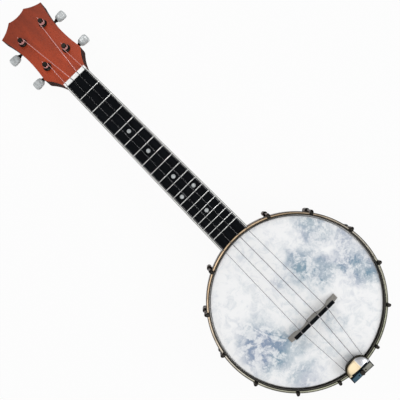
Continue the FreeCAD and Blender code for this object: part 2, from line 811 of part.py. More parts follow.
def make_post(along_face, out):
    """String post: waisted top with a string hole, journal, and stub for the wheel."""
    waist_low, waist_high = post_waist
    gear_top = worm_depth() + wheel_thickness / 2.0
    gear_low = worm_depth() - wheel_thickness / 2.0
    plate_low = -head_block - plate_thickness
    profile = [(0, gear_low), (wheel_stub_radius, gear_low), (wheel_stub_radius, gear_top),
               (wheel_stub_radius + 0.9, gear_top), (wheel_stub_radius + 0.9, plate_low), (post_radius, plate_low),
               (post_radius, waist_low), (post_waist_radius, waist_low + 0.4), (post_waist_radius, waist_high - 0.2),
               (post_radius, waist_high), (post_radius, post_stand - 0.6), (post_radius - 0.6, post_stand),
               (0, post_stand)]
    points = [Vector(-along_face + radius, out, height) for radius, height in profile]
    outline = Part.makePolygon(points + [points[0]])
    post = Part.Face(outline).revolve(Vector(-along_face, out, 0), UP, 360)
    rivet = Part.makeCone(wheel_stub_radius + 0.3, wheel_stub_radius + 0.8, 0.7,
                          Vector(-along_face, out, gear_low - 0.7), UP)
    hole_height = string_hole_height()
    hole = Part.makeCylinder(max(string_radii) + 0.15, 4.0 * post_radius,
                             Vector(-along_face - 2.0 * post_radius, out, hole_height), TAILWARD)
    return fuse([post, rivet]).cut(hole)


def string_hole_height():
    return post_waist[1] + 1.2


def make_string_end(index):
    """The cut end of a string through its post's hole."""
    along_face, out = string_post(index)
    start = Vector(-along_face - post_radius - 2.6, out, string_hole_height())
    return Part.makeCylinder(string_radii[index], 2.0 * post_radius + 3.4, start, TAILWARD)


def make_wheel(along_face, out):
    """Worm wheel with straight teeth, a gap between two teeth facing the worm."""
    root = wheel_pitch_radius - tooth_height / 2.0 - 0.1
    tip = wheel_pitch_radius + tooth_height / 2.0 - 0.1
    low = worm_depth() - wheel_thickness / 2.0
    centre = Vector(-along_face, out, low)
    body = Part.makeCylinder(root, wheel_thickness, centre, UP)
    teeth = []
    for index in range(wheel_teeth):
        inner = root - 0.3
        corners = [Vector(-inner, -tooth_root_width / 2.0, 0), Vector(-tip, -tooth_tip_width / 2.0, 0),
                   Vector(-tip, tooth_tip_width / 2.0, 0), Vector(-inner, tooth_root_width / 2.0, 0)]
        tooth = prism(corners, UP * wheel_thickness)
        tooth.rotate(Vector(0, 0, 0), UP, 360.0 / wheel_teeth * (index + 0.5))
        tooth.translate(centre)
        teeth.append(tooth)
    wheel = fuse([body] + teeth)
    return wheel.cut(Part.makeCylinder(wheel_stub_radius, wheel_thickness, centre, UP))


def make_worm(along_face, out):
    """Worm with its helical thread, journals and the stem that carries the button."""
    pitch = 2.0 * math.pi * wheel_pitch_radius / wheel_teeth
    worm_pitch_radius = gear_centres - wheel_pitch_radius
    root = worm_pitch_radius - tooth_height / 2.0 - 0.1
    tip = worm_pitch_radius + tooth_height / 2.0 - 0.1
    inner = root - 0.15
    helix = Part.makeHelix(pitch, worm_thread_length, inner)
    corners = [Vector(inner, 0, -thread_base_width / 2.0), Vector(tip, 0, -thread_crest_width / 2.0),
               Vector(tip, 0, thread_crest_width / 2.0), Vector(inner, 0, thread_base_width / 2.0)]
    profile = Part.makePolygon(corners + [corners[0]])
    thread = Part.Wire(helix.Edges).makePipeShell([profile], True, True)
    thread.translate(UP * (-worm_thread_length / 2.0))
    thread.rotate(Vector(0, 0, 0), UP, -180.0 * worm_thread_length / pitch)
    journal_end = plate_half_width + 0.15
    core_half = worm_thread_length / 2.0 + 0.4
    core = Part.makeCylinder(root, 2.0 * core_half, UP * -core_half, UP)
    shaft = Part.makeCylinder(worm_shaft_radius, journal_end + plate_half_width, UP * -plate_half_width, UP)
    stem_end = button_reach - button_width / 2.0
    stem = Part.makeCylinder(stem_radius, stem_end - journal_end + 5.0, UP * journal_end, UP)
    collar = Part.makeCone(stem_collar_radius, stem_radius + 0.2, 1.6, UP * journal_end, UP)
    cup = Part.makeCone(stem_radius, stem_collar_radius + 0.3, 2.2, UP * (stem_end - 2.2), UP)
    worm = fuse([core, thread, shaft, stem, collar, cup])
    worm.rotate(Vector(0, 0, 0), Vector(1, 0, 0), -90.0)
    worm.translate(Vector(-along_face - gear_centres, out, worm_depth()))
    return worm


def make_button(along_face, out):
    """Oval button pressed on the stem: a thick disc, wider than high, rounded all round."""
    half_width = button_width / 2.0
    ball = Part.makeSphere(1.0)
    stretch = FreeCAD.Matrix()
    stretch.scale(button_height / 2.0 * 1.06, half_width * 1.06, button_thickness / 2.0 * 1.35)
    egg = ball.transformGeometry(stretch)
    limit = Part.makeBox(button_height, button_width, button_thickness,
                         Vector(-button_height / 2.0, -half_width, -button_thickness / 2.0))
    button = egg.common(limit)
    button.translate(Vector(-along_face - gear_centres, out + button_reach, worm_depth()))
    socket_start = Vector(-along_face - gear_centres, out + button_reach - half_width - 1.0, worm_depth())
    return button.cut(Part.makeCylinder(stem_radius, 6.0, socket_start, SIDEWAYS))


def add_tuner(number, index):
    """One string's tuner; those on the -Y side are mirror images."""
    along_face, out = string_post(index)
    mirror = out < 0
    out = abs(out)
    pieces = {"tuner_plate": make_tuner_plate(along_face, out), "tuner_worm": make_worm(along_face, out),
              "tuner_button": make_button(along_face, out), "string_post": make_post(along_face, out),
              "worm_wheel": make_wheel(along_face, out)}
    for name, shape in pieces.items():
        nodes["%s_%d" % (name, number)] = put_on_head(shape, mirror)
    end = make_string_end(index)
    nodes["string_end_%d" % number] = put_on_head(end, False)
    bushing = put_on_head(make_bushing(along_face, out), mirror)
    screws = [put_on_head(screw, mirror) for screw in make_plate_screws(along_face, out)]
    return bushing, screws


def put_on_head(shape, mirror):
    """Carry a shape from the head's frame to the row's frame."""
    if mirror:
        shape = shape.mirror(Vector(0, 0, 0), SIDEWAYS)
    moved = shape.copy()
    moved.Placement = face_frame.multiply(moved.Placement)
    return moved


# ---------------------------------------------------------------- bridge
def bridge_string_cuts():
    """Room over the bridge for each string, with clearance all round it."""
    cuts = []
    for index, radius in enumerate(string_radii):
        room = radius + bridge_string_room
        y = string_side(index, bridge_spacing)
        centre = place(bridge_from_nut, y, string_at_bridge)
        reach = bridge_cap_width
        cuts.append(rod(centre - TAILWARD * reach, centre + TAILWARD * reach, room))
        cuts.append(block(bridge_from_nut - reach, bridge_from_nut + reach, y - room, y + room,
                          string_at_bridge, string_at_bridge + bridge_cap_height))
    return cuts


def make_bridge_base():
    """Maple body: three feet, two arches, thinner towards the top."""
    half_top = bridge_cap_length / 2.0
    half_foot = bridge_foot_span / 2.0
    top = head_top + bridge_height - bridge_cap_height
    foot_top = head_top + bridge_foot_rise
    outline = [(-half_foot, head_top), (half_foot, head_top), (half_foot, foot_top),
               (half_top, foot_top + 4.5), (half_top, top), (-half_top, top), (-half_top, foot_top + 4.5),
               (-half_foot, foot_top)]
    half_depth = bridge_foot_depth / 2.0
    start_n = bridge_from_nut - bridge_foot_depth
    through = TAILWARD * 2.0 * bridge_foot_depth
    front = prism([place(start_n, y, z) for y, z in outline], through)
    half_cap = bridge_cap_width / 2.0
    side = [(-half_depth, head_top), (half_depth, head_top), (half_depth, foot_top),
            (half_cap, top), (-half_cap, top), (-half_depth, foot_top)]
    slab = prism([place(bridge_from_nut + n, -half_foot, z) for n, z in side], SIDEWAYS * bridge_foot_span)
    base = front.common(slab)
    middle_half = bridge_foot_length / 2.0
    arch_end = half_foot - bridge_foot_length
    for side_sign in (1, -1):
        ends = sorted([side_sign * middle_half, side_sign * arch_end])
        low_left = place(start_n, ends[0], head_top)
        low_right = place(start_n, ends[1], head_top)
        crown = place(start_n, (ends[0] + ends[1]) / 2.0, head_top + bridge_arch_height)
        outline = Part.Wire([Part.Arc(low_left, crown, low_right).toShape(),
                             Part.LineSegment(low_right, low_left).toShape()])
        base = base.cut(Part.Face(outline).extrude(through))
    return base


def make_bridge_cap():
    half = bridge_cap_length / 2.0
    half_cap = bridge_cap_width / 2.0
    top = head_top + bridge_height
    low = top - bridge_cap_height
    points = [place(bridge_from_nut - half_cap, -half, low), place(bridge_from_nut + half_cap, -half, low),
              place(bridge_from_nut + half_cap, -half, top), place(bridge_from_nut - half_cap, -half, top)]
    cap = rounded_prism(points, [0, 0, 0.7, 0.7], SIDEWAYS * bridge_cap_length)
    for cut in bridge_string_cuts():
        cap = cap.cut(cut)
    return cap


# ---------------------------------------------------------------- rod and tail
def washer_seat():
    """Distance from the pot's axis at which a flat washer touches the rim's inside."""
    return math.sqrt((rim_radius - rim_wall) ** 2 - washer_radius ** 2) - 0.02


def make_washers():
    """Three washers inside the rim: under the rod's two ends and the upper nut."""
    washers = []
    places = [(-1, rod_height), (-1, upper_bolt_height), (1, rod_height)]
    for side, height in places:
        start = place(pot_from_nut + side * washer_seat(), 0, height)
        direction = TAILWARD * -side
        disc = Part.makeCylinder(washer_radius, washer_thickness, start, direction)
        bore = Part.makeCylinder(hanger_radius + seat_gap, washer_thickness, start, direction)
        washers.append(disc.cut(bore))
    return Part.makeCompound(washers)


def rod_end():
    """Half the coordinator rod's length."""
    return washer_seat() - washer_thickness


def make_coordinator_rod():
    start = place(pot_from_nut - rod_end(), 0, rod_height)
    bar = Part.makeCylinder(rod_radius, 2.0 * rod_end(), start, TAILWARD)
    depth = bolt_in_rod + rod_bore_room
    bar = bar.cut(Part.makeCylinder(hanger_radius + seat_gap, depth, start, TAILWARD))
    far = place(pot_from_nut + rod_end() - depth, 0, rod_height)
    bar = bar.cut(Part.makeCylinder(hanger_radius + seat_gap, depth, far, TAILWARD))
    cross = place(pot_from_nut, -rod_radius - 1.0, rod_height)
    return bar.cut(Part.makeCylinder(1.5, 2.0 * rod_radius + 2.0, cross, SIDEWAYS))


def make_hanger_bolts():
    start_n = pot_from_nut - rim_radius - hanger_in_heel
    lower_end = pot_from_nut - rod_end() + bolt_in_rod
    upper_end = pot_from_nut - rod_end() + hanger_nut_height + 2.5
    lower = rod(place(start_n, 0, rod_height), place(lower_end, 0, rod_height), hanger_radius)
    upper = rod(place(start_n, 0, upper_bolt_height), place(upper_end, 0, upper_bolt_height), hanger_radius)
    return Part.makeCompound([lower, upper])


def make_hanger_nut():
    start = place(pot_from_nut - rod_end(), 0, upper_bolt_height)
    nut = hex_bar(start, TAILWARD, hanger_nut_flats, hanger_nut_height)
    return nut.cut(Part.makeCylinder(hanger_radius + seat_gap, hanger_nut_height, start, TAILWARD))


def make_tail_bracket():
    """Angle bracket outside the rim: upright plate and a slotted shelf for the tailpiece's bolt."""
    width, height, thickness = tail_plate
    wall_n = pot_from_nut + rim_radius + 0.02
    plate_low = rod_height - 9.0
    plate = block(wall_n, wall_n + thickness, -width / 2.0, width / 2.0, plate_low, plate_low + height)
    shelf_low = tail_shelf_height - tail_shelf_thickness
    shelf = block(wall_n, tail_end - 0.4, -width / 2.0, width / 2.0, shelf_low, tail_shelf_height)
    bracket = fuse([plate, shelf])
    bracket = bracket.cut(Part.makeCylinder(hanger_radius + seat_gap, thickness + 2.0,
                                            place(wall_n - 1.0, 0, rod_height), TAILWARD))
    room = tail_bolt_radius + seat_gap
    slot_half = tail_shelf_slot / 2.0
    axis_n = tail_bolt_n()
    for y in (-slot_half, slot_half):
        bracket = bracket.cut(Part.makeCylinder(room, 2.0 * tail_shelf_thickness,
                                                place(axis_n, y, shelf_low - 1.0), UP))
    return bracket.cut(block(axis_n - room, axis_n + room, -slot_half, slot_half, shelf_low - 1.0,
                             tail_shelf_height + 1.0))


def tail_bolt_n():
    """Distance of the tailpiece's bolt from the nut."""
    return block_front + tail_block_length / 2.0


def make_tail_bolt():
    """Hex bolt through the bracket and the rim into the rod."""
    seat = pot_from_nut + rim_radius + 0.02 + tail_plate[2]
    head = hex_bar(place(seat, 0, rod_height), TAILWARD, tail_bolt_flats, tail_bolt_head)
    inner_end = place(pot_from_nut + rod_end() - bolt_in_rod, 0, rod_height)
    shank = rod(inner_end, place(seat, 0, rod_height), hanger_radius)
    return fuse([head, shank])


# ---------------------------------------------------------------- tailpiece
def cover_outline(inset, z):
    """Closed outline of the cover: a rounded front and a straight back along the hinge."""
    depth = cover_depth - inset
    half = cover_half_width - inset
    power = 2.0 / cover_roundness
    steps = 16
    points = []
    for step in range(steps + 1):
        angle = math.pi * step / steps
        cosine = math.cos(angle)
        y = half * math.copysign(abs(cosine) ** power, cosine)
        forward = depth * math.sin(angle) ** power
        points.append(place(cover_back - forward, y, z))
    curve = Part.BSplineCurve()
    curve.interpolate(points)
    return Part.Wire([curve.toShape(), Part.LineSegment(points[-1], points[0]).toShape()])


def make_tailpiece_cover():
    """Domed shell, open below and behind, with a hinge knuckle at each end."""
    base = hoop_top + cover_wall_base
    crown = hoop_top + cover_crown
    tall = 12.0
    centre = place(cover_back, 0, crown - cover_dome_radius)
    outer = Part.Face(cover_outline(0.0, base)).extrude(UP * tall)
    outer = outer.common(Part.makeSphere(cover_dome_radius, centre))
    inner = Part.Face(cover_outline(cover_skin, base - 1.0)).extrude(UP * tall)
    inner = inner.common(Part.makeSphere(cover_dome_radius - cover_skin, centre))
    knuckles = []
    knuckle_inner = hinge_half_length + free_gap
    knuckle_length = cover_half_width - 0.4 - knuckle_inner
    for side in (1, -1):
        start_y = knuckle_inner if side > 0 else -knuckle_inner - knuckle_length
        barrel = Part.makeCylinder(hinge_radius, knuckle_length, place(hinge_n, start_y, hinge_z), SIDEWAYS)
        web = block(cover_back - 1.2, hinge_n, start_y, start_y + knuckle_length, hinge_z - hinge_radius + 0.6,
                    hinge_z + hinge_radius)
        knuckles += [barrel, web]
    cover = fuse([outer.cut(inner)] + knuckles)
    return turn_tail(cover.cut(hinge_bore(hinge_pin_radius + running_gap)))


def hinge_bore(radius):
    length = 2.0 * cover_half_width + 2.0
    return Part.makeCylinder(radius, length, place(hinge_n, -length / 2.0, hinge_z), SIDEWAYS)


def make_tailpiece_base():
    """Plate over the hoop with a string comb, a hinge barrel and the block behind the hoop."""
    low = hoop_top + free_gap
    plate = Part.Face(cover_outline(1.4, low)).extrude(UP * tail_plate_thickness)
    bar = block(cover_back, block_front, -cover_half_width + 1.0, cover_half_width - 1.0, low,
                low + tail_plate_thickness)
    top = hoop_top + tail_block_rise
    rear = block(block_front, tail_end, -tail_block_half_width, tail_block_half_width,
                 hoop_top - tail_block_drop, top)
    ledge = block(hinge_n + hinge_radius + hinge_room, block_front + 1.0,
                  -tail_block_half_width, tail_block_half_width, low, top)
    comb_top = hoop_top + cover_wall_base - free_gap
    comb_half = string_side(0, tail_spacing) + 1.2
    comb = block(comb_n, comb_n + comb_thickness, -comb_half, comb_half, low, comb_top)
    barrel = Part.makeCylinder(hinge_radius, 2.0 * hinge_half_length,
                               place(hinge_n, -hinge_half_length, hinge_z), SIDEWAYS)
    web = block(hinge_n - 1.0, hinge_n + 1.0, -hinge_half_length, hinge_half_length, low, hinge_z)
    base = fuse([plate, bar, rear, ledge, comb, barrel, web])
    base = base.cut(hinge_bore(hinge_pin_radius + running_gap))
    for index, radius in enumerate(string_radii):
        y = string_side(index, tail_spacing)
        room = radius + 0.4
        base = base.cut(block(comb_n - 1.0, comb_n + comb_thickness + 0.01, y - room, y + room,
                              string_at_tail - room, comb_top + 1.0))
    axis = place(tail_bolt_n(), 0, 0)
    base = base.cut(Part.makeCylinder(tail_bolt_radius + seat_gap, board_top + 10.0, axis, UP))
    for y in (-tail_pin_hole_offset, tail_pin_hole_offset):
        start = place(tail_bolt_n(), y, top - tail_pin_hole_depth)
        base = base.cut(Part.makeCylinder(tail_pin_hole_radius, tail_pin_hole_depth, start, UP))
    return turn_tail(base)


def make_tailpiece_pin():
    length = 2.0 * (cover_half_width - 0.2)
    pin = Part.makeCylinder(hinge_pin_radius, length, place(hinge_n, -length / 2.0, hinge_z), SIDEWAYS)
    return turn_tail(pin)


def make_tailpiece_bolt():
    """Hex-headed bolt that pulls the tailpiece down towards the bracket."""
    seat = hoop_top + tail_block_rise
    low = tail_shelf_height - tail_shelf_thickness - hook_nut_height / 2.0 - 2.0
    head = hex_bar(place(tail_bolt_n(), 0, seat), UP, tail_bolt_hex, tail_bolt_hex_height)
    shank = rod(place(tail_bolt_n(), 0, low), place(tail_bolt_n(), 0, seat), tail_bolt_radius)
    return turn_tail(fuse([head, shank]))


def make_tailpiece_nut():
    height = hook_nut_height / 2.0
    start = place(tail_bolt_n(), 0, tail_shelf_height - tail_shelf_thickness - height)
    nut = hex_bar(start, UP, tail_bolt_hex, height)
    return turn_tail(nut.cut(Part.makeCylinder(tail_bolt_radius + seat_gap, height, start, UP)))


# ---------------------------------------------------------------- the whole instrument
nodes["rim"] = make_rim()
nodes["tone_ring"] = make_tone_ring()
nodes["head_skin"] = make_head_skin()
nodes["flesh_hoop"] = make_flesh_hoop()
nodes["tension_hoop"] = make_tension_hoop()
nodes["bracket_hooks"] = round_the_pot(make_hook())
nodes["bracket_shoes"] = round_the_pot(make_shoe())
nodes["shoe_bolts"] = round_the_pot(make_shoe_bolt())
nodes["hook_nuts"] = round_the_pot(make_hook_nut())
nodes["neck"] = make_neck()
nodes["fretboard"] = make_fretboard()
nodes["fretboard_binding"] = make_binding()
nodes["frets"] = make_frets()
nodes["position_dots"] = make_dots()
nodes["nut"] = make_nut()
nodes["coordinator_rod"] = make_coordinator_rod()
nodes["hanger_bolts"] = make_hanger_bolts()
nodes["hanger_nut"] = make_hanger_nut()
nodes["rod_washers"] = make_washers()
nodes["tail_bracket"] = make_tail_bracket()
nodes["tail_bolt"] = make_tail_bolt()
nodes["tailpiece_base"] = make_tailpiece_base()
nodes["tailpiece_cover"] = make_tailpiece_cover()
nodes["tailpiece_pin"] = make_tailpiece_pin()
nodes["tailpiece_bolt"] = make_tailpiece_bolt()
nodes["tailpiece_nut"] = make_tailpiece_nut()
nodes["bridge_base"] = make_bridge_base()
nodes["bridge_cap"] = make_bridge_cap()
bushings = []
plate_screws = []
for string_index in range(len(string_radii)):
    nodes["string_%d" % (string_index + 1)] = make_string(string_index)
    bushing, screws = add_tuner(string_index + 1, string_index)
    bushings.append(bushing)
    plate_screws.extend(screws)
nodes["tuner_bushings"] = Part.makeCompound(bushings)
nodes["tuner_screws"] = Part.makeCompound(plate_screws)

os.makedirs("parts", exist_ok=True)
for name, shape in nodes.items():
    shape.exportStep("parts/%s.step" % name)
    sound = "sound" if shape.isValid() else "NOT VALID"
    print("%-20s %3d solids %12.1f mm3 %s" % (name, len(shape.Solids), shape.Volume, sound))
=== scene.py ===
import json
import math

import bmesh
import bpy
from mathutils import Euler, Matrix, Vector


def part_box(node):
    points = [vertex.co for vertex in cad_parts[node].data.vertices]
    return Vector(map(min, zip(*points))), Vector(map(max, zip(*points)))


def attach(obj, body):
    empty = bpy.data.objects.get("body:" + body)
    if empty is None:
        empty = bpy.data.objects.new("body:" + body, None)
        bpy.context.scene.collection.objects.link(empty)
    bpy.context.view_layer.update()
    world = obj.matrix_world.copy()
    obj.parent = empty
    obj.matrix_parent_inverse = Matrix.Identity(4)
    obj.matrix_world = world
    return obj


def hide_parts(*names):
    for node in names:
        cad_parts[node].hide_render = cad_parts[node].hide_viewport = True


bl_info = {
    "name": "Banjo ukulele looks",
    "version": (1, 0, 0),
    "blender": (4, 5, 0),
    "location": "3D View > Sidebar > Banjo",
    "description": "Dresses the frame of a banjo ukulele with its finished pieces and materials",
    "category": "Object",
}

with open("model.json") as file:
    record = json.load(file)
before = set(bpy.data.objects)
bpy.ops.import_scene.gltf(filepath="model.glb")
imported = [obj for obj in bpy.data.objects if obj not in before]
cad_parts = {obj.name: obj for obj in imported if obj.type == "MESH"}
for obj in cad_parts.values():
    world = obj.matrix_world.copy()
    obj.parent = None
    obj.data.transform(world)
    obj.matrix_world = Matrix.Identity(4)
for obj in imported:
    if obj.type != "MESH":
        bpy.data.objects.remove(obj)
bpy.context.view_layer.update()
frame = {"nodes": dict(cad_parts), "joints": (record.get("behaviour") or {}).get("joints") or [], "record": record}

MM = 0.001
BODY = "instrument"
STRINGS = (1, 2, 3, 4)
BORE_ROOM = 0.06 * MM
PLIES = 1.7 * MM
FRAME_WIDTH = 0.4656
CAMERA_DISTANCE = 0.600


# ---------------------------------------------------------------- places read from the frame
def middle(node):
    """Centre of a frame part's box."""
    low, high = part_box(node)
    return (low + high) / 2.0


def pot_axis():
    """Point on the pot's axis at floor level."""
    centre = middle("rim")
    return Vector((centre.x, centre.y, 0.0))


def outer_radius(node):
    """Radius of a round part of the pot."""
    low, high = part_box(node)
    return (high.y - low.y) / 2.0


def joint_named(name):
    for joint in frame["joints"]:
        if joint["name"] == name:
            return joint
    raise KeyError(name)


def face_up():
    """Unit vector out of the front of the head of the neck."""
    return Vector(joint_named("string_post_turn_1")["axis"]).normalized()


def face_tilt():
    up = face_up()
    return math.atan2(-up.x, up.z)


# ---------------------------------------------------------------- settings
def length(name, value, text):
    return bpy.props.FloatProperty(name=name, description=text, default=value * MM, unit="LENGTH")


def turn(name, degrees, text):
    return bpy.props.FloatProperty(name=name, description=text, default=math.radians(degrees),
                                   subtype="ANGLE")


def count(name, value, text):
    return bpy.props.IntProperty(name=name, description=text, default=value, min=2)


def colour(name, value, text):
    return bpy.props.FloatVectorProperty(name=name, description=text, default=value, size=3,
                                         min=0.0, max=1.0, subtype="COLOR")


def share(name, value, text):
    return bpy.props.FloatProperty(name=name, description=text, default=value, min=0.0, max=1.0,
                                   subtype="FACTOR")


def power(name, value, text):
    return bpy.props.FloatProperty(name=name, description=text, default=value, min=0.0, unit="POWER")


def pointer(kind, name, text):
    return bpy.props.PointerProperty(type=kind, name=name, description=text)


class PotSizes(bpy.types.PropertyGroup):
    hooks: count("Hooks", 12, "Bracket hooks round the pot")
    first_hook: turn("First hook", 26.0, "Direction of the first hook, measured from the neck")
    last_hook: turn("Last hook", 16.5, "Direction of the last hook, measured from the tailpiece")
    hook_circle: length("Hook circle", 108.2, "Radius of the circle on which the hooks stand")
    hook_rod: length("Hook rod", 1.5, "Radius of a hook's rod")
    claw_width: length("Claw width", 4.4, "Width of a hook's claw where it grips the hoop")
    claw_thickness: length("Claw thickness", 2.5, "Thickness of a hook's claw")
    groove_circle: length("Groove circle", 104.55, "Radius of the groove that the claws grip")
    groove_width: length("Groove width", 1.5, "Width of the groove on top of the hoop")
    groove_depth: length("Groove depth", 1.0, "Depth of the groove on top of the hoop")
    hoop_width: length("Hoop width", 4.0, "Width of the tension hoop's top")
    hoop_rebate: length("Hoop rebate", 103.35, "Inner radius of the hoop's lower wall")
    hoop_ledge: length("Hoop ledge", 62.0, "Height of the ledge that presses on the head's own ring")
    film: length("Film", 0.5, "Thickness of the drum head's film")
    flesh_width: length("Flesh hoop", 1.8, "Width of the ring that the film is glued into")
    tone_width: length("Tone ring", 4.5, "Width of the tone ring")
    rim_wall: length("Rim wall", 12.0, "Thickness of the rim")
    boss_radius: length("Shoe boss", 3.1, "Radius of a shoe's boss")
    boss_height: length("Boss height", 10.0, "Height of a shoe's boss")
    shoe_height: length("Shoe height", 39.0, "Height of the middle of a shoe above the floor")
    flange_width: length("Flange width", 9.0, "Width of a shoe's flange on the rim")
    flange_height: length("Flange height", 16.0, "Height of a shoe's flange on the rim")
    web_width: length("Web width", 4.4, "Width of the web between a shoe's flange and its boss")
    nut_flats: length("Nut flats", 5.6, "Width across the flats of a hook's nut")
    nut_height: length("Nut height", 8.0, "Height of a hook's nut")


class NeckSizes(bpy.types.PropertyGroup):
    scale: length("Scale", 381.0, "Length that the fret rule divides")
    frets: count("Frets", 18, "Number of frets")
    half_nut: length("Half width at the nut", 16.5, "Half of the fretboard's width at the nut")
    half_end: length("Half width at the last fret", 20.8, "Half of the fretboard's width at the last fret")
    crown_width: length("Crown width", 1.35, "Width of a fret's crown")
    crown_height: length("Crown height", 1.0, "Height of a fret's crown")
    dot_radius: length("Dot radius", 2.5, "Radius of a position dot")
    double_dot: length("Double dot", 9.5, "Distance of a double dot from the middle of the board")
    binding: length("Binding", 1.5, "Width of the binding")
    edge: length("Edge round", 1.3, "Rounding along the edges of the head of the neck")


class TunerSizes(bpy.types.PropertyGroup):
    button_height: length("Button height", 12.6, "Height of a button, across its stem")
    button_thickness: length("Button thickness", 5.6, "Thickness of a button")
    flange_radius: length("Bushing radius", 5.25, "Radius of a bushing's flange")
    flange_height: length("Bushing height", 1.5, "Height of a bushing's flange")
    post_radius: length("Post radius", 3.0, "Radius of a string post")
    sleeve_radius: length("Sleeve radius", 4.2, "Radius of a bushing's sleeve in the head")
    sleeve_length: length("Sleeve length", 10.0, "Length of a bushing's sleeve in the head")


class BridgeSizes(bpy.types.PropertyGroup):
    slots: length("Slots", 1.2, "Height of the cap's top with its string slots")
    room: length("Room", 0.15, "Room between the cap and the strings when the bridge slides")


class TailSizes(bpy.types.PropertyGroup):
    depth: length("Cover depth", 12.0, "How far the cover reaches ahead of its back edge")
    half_width: length("Half width", 15.8, "Half of the cover's width")
    dome: length("Dome", 40.0, "Radius of the cover's dome")
    skin: length("Skin", 1.0, "Thickness of the cover")
    back: length("Back edge", 1.4, "Distance of the cover's back edge ahead of its hinge")
    wall_base: length("Wall base", -0.3, "Lower edge of the cover's wall, measured from its hinge")
    edge: length("Brow", 1.3, "Rounding of the cover's brow")
    barrel: length("Hinge barrel", 1.7, "Radius of the hinge's barrels")
    barrel_half: length("Barrel half length", 10.8, "Half the length of the hinge's middle barrel")
    pin: length("Hinge pin bore", 0.86, "Radius of the bore for the hinge's pin")


class Finishes(bpy.types.PropertyGroup):
    mahogany: colour("Mahogany", (0.40, 0.054, 0.016), "Lacquered wood of the neck")
    mahogany_dark: colour("Dark mahogany", (0.11, 0.018, 0.009), "Pores and shaded edges of the neck")
    rim_wood: colour("Rim wood", (0.30, 0.085, 0.036), "Stained wood of the rim")
    ebony: colour("Ebony", (0.0026, 0.0032, 0.0042), "Fretboard and bridge cap")
    maple: colour("Maple", (0.30, 0.285, 0.26), "Bare wood of the bridge")
    film_white: colour("Film white", (0.90, 0.905, 0.91), "Pale ground of the drum head")
    film_cloud: colour("Film cloud", (0.085, 0.215, 0.315), "Clouds in the drum head")
    black_nickel: colour("Black nickel", (0.034, 0.031, 0.027), "Plating of the hooks, shoes and tuners")
    hoop_nickel: colour("Hoop nickel", (0.52, 0.48, 0.41), "Plating of the tension hoop")
    # Plating of the cover, tinted pale gold by a painted warm reflection.
    gold_reflection_on_cover: colour("Pale gold", (0.63, 0.52, 0.345), "Plating of the tailpiece's cover")
    nickel_silver: colour("Nickel silver", (0.86, 0.86, 0.84), "Frets")
    # Painted grey reflection on one end of the cover.
    grey_reflection_on_cover: colour("Cover grey", (0.70, 0.71, 0.74), "Painted grey reflection at the end of the tailpiece's cover")
    block_blue: colour("Block blue", (0.045, 0.085, 0.115), "Bluish end of the tailpiece's block")
    block_grey: colour("Block grey", (0.24, 0.24, 0.21), "Grey end of the tailpiece's block")
    steel: colour("Steel", (0.55, 0.55, 0.54), "Rod, bolts and washers")
    brass: colour("Brass", (0.62, 0.44, 0.17), "Tone ring and gears")
    cream: colour("Cream", (0.88, 0.88, 0.85), "Binding")
    bone: colour("Bone", (0.94, 0.95, 0.94), "Nut")
    pearl: colour("Pearl", (0.52, 0.55, 0.555), "Tuner buttons and position dots")
    nylon: colour("Nylon", (0.30, 0.30, 0.33), "Strings")


class StageSettings(bpy.types.PropertyGroup):
    floor: colour("Floor", (0.86, 0.86, 0.86), "Floor under the instrument")
    key_power: power("Key light", 5.0, "Power of the softbox beyond the tail, to one side")
    fill_power: power("Fill light", 4.5, "Power of the softbox beyond the head")
    panel_power: power("Overhead panel", 11.8, "Power of the wide panel overhead")
    world: share("World", 0.47, "Brightness of the surroundings")


def settings():
    return bpy.context.scene.banjo


class BanjoSettings(bpy.types.PropertyGroup):
    pot: pointer(PotSizes, "Pot", "Sizes of the pot")
    neck: pointer(NeckSizes, "Neck", "Sizes of the neck")
    tuner: pointer(TunerSizes, "Tuners", "Sizes of the tuners")
    bridge: pointer(BridgeSizes, "Bridge", "Sizes of the bridge")
    tail: pointer(TailSizes, "Tailpiece", "Sizes of the tailpiece")
    finish: pointer(Finishes, "Finishes", "Colours")
    stage: pointer(StageSettings, "Stage", "Floor and lights")


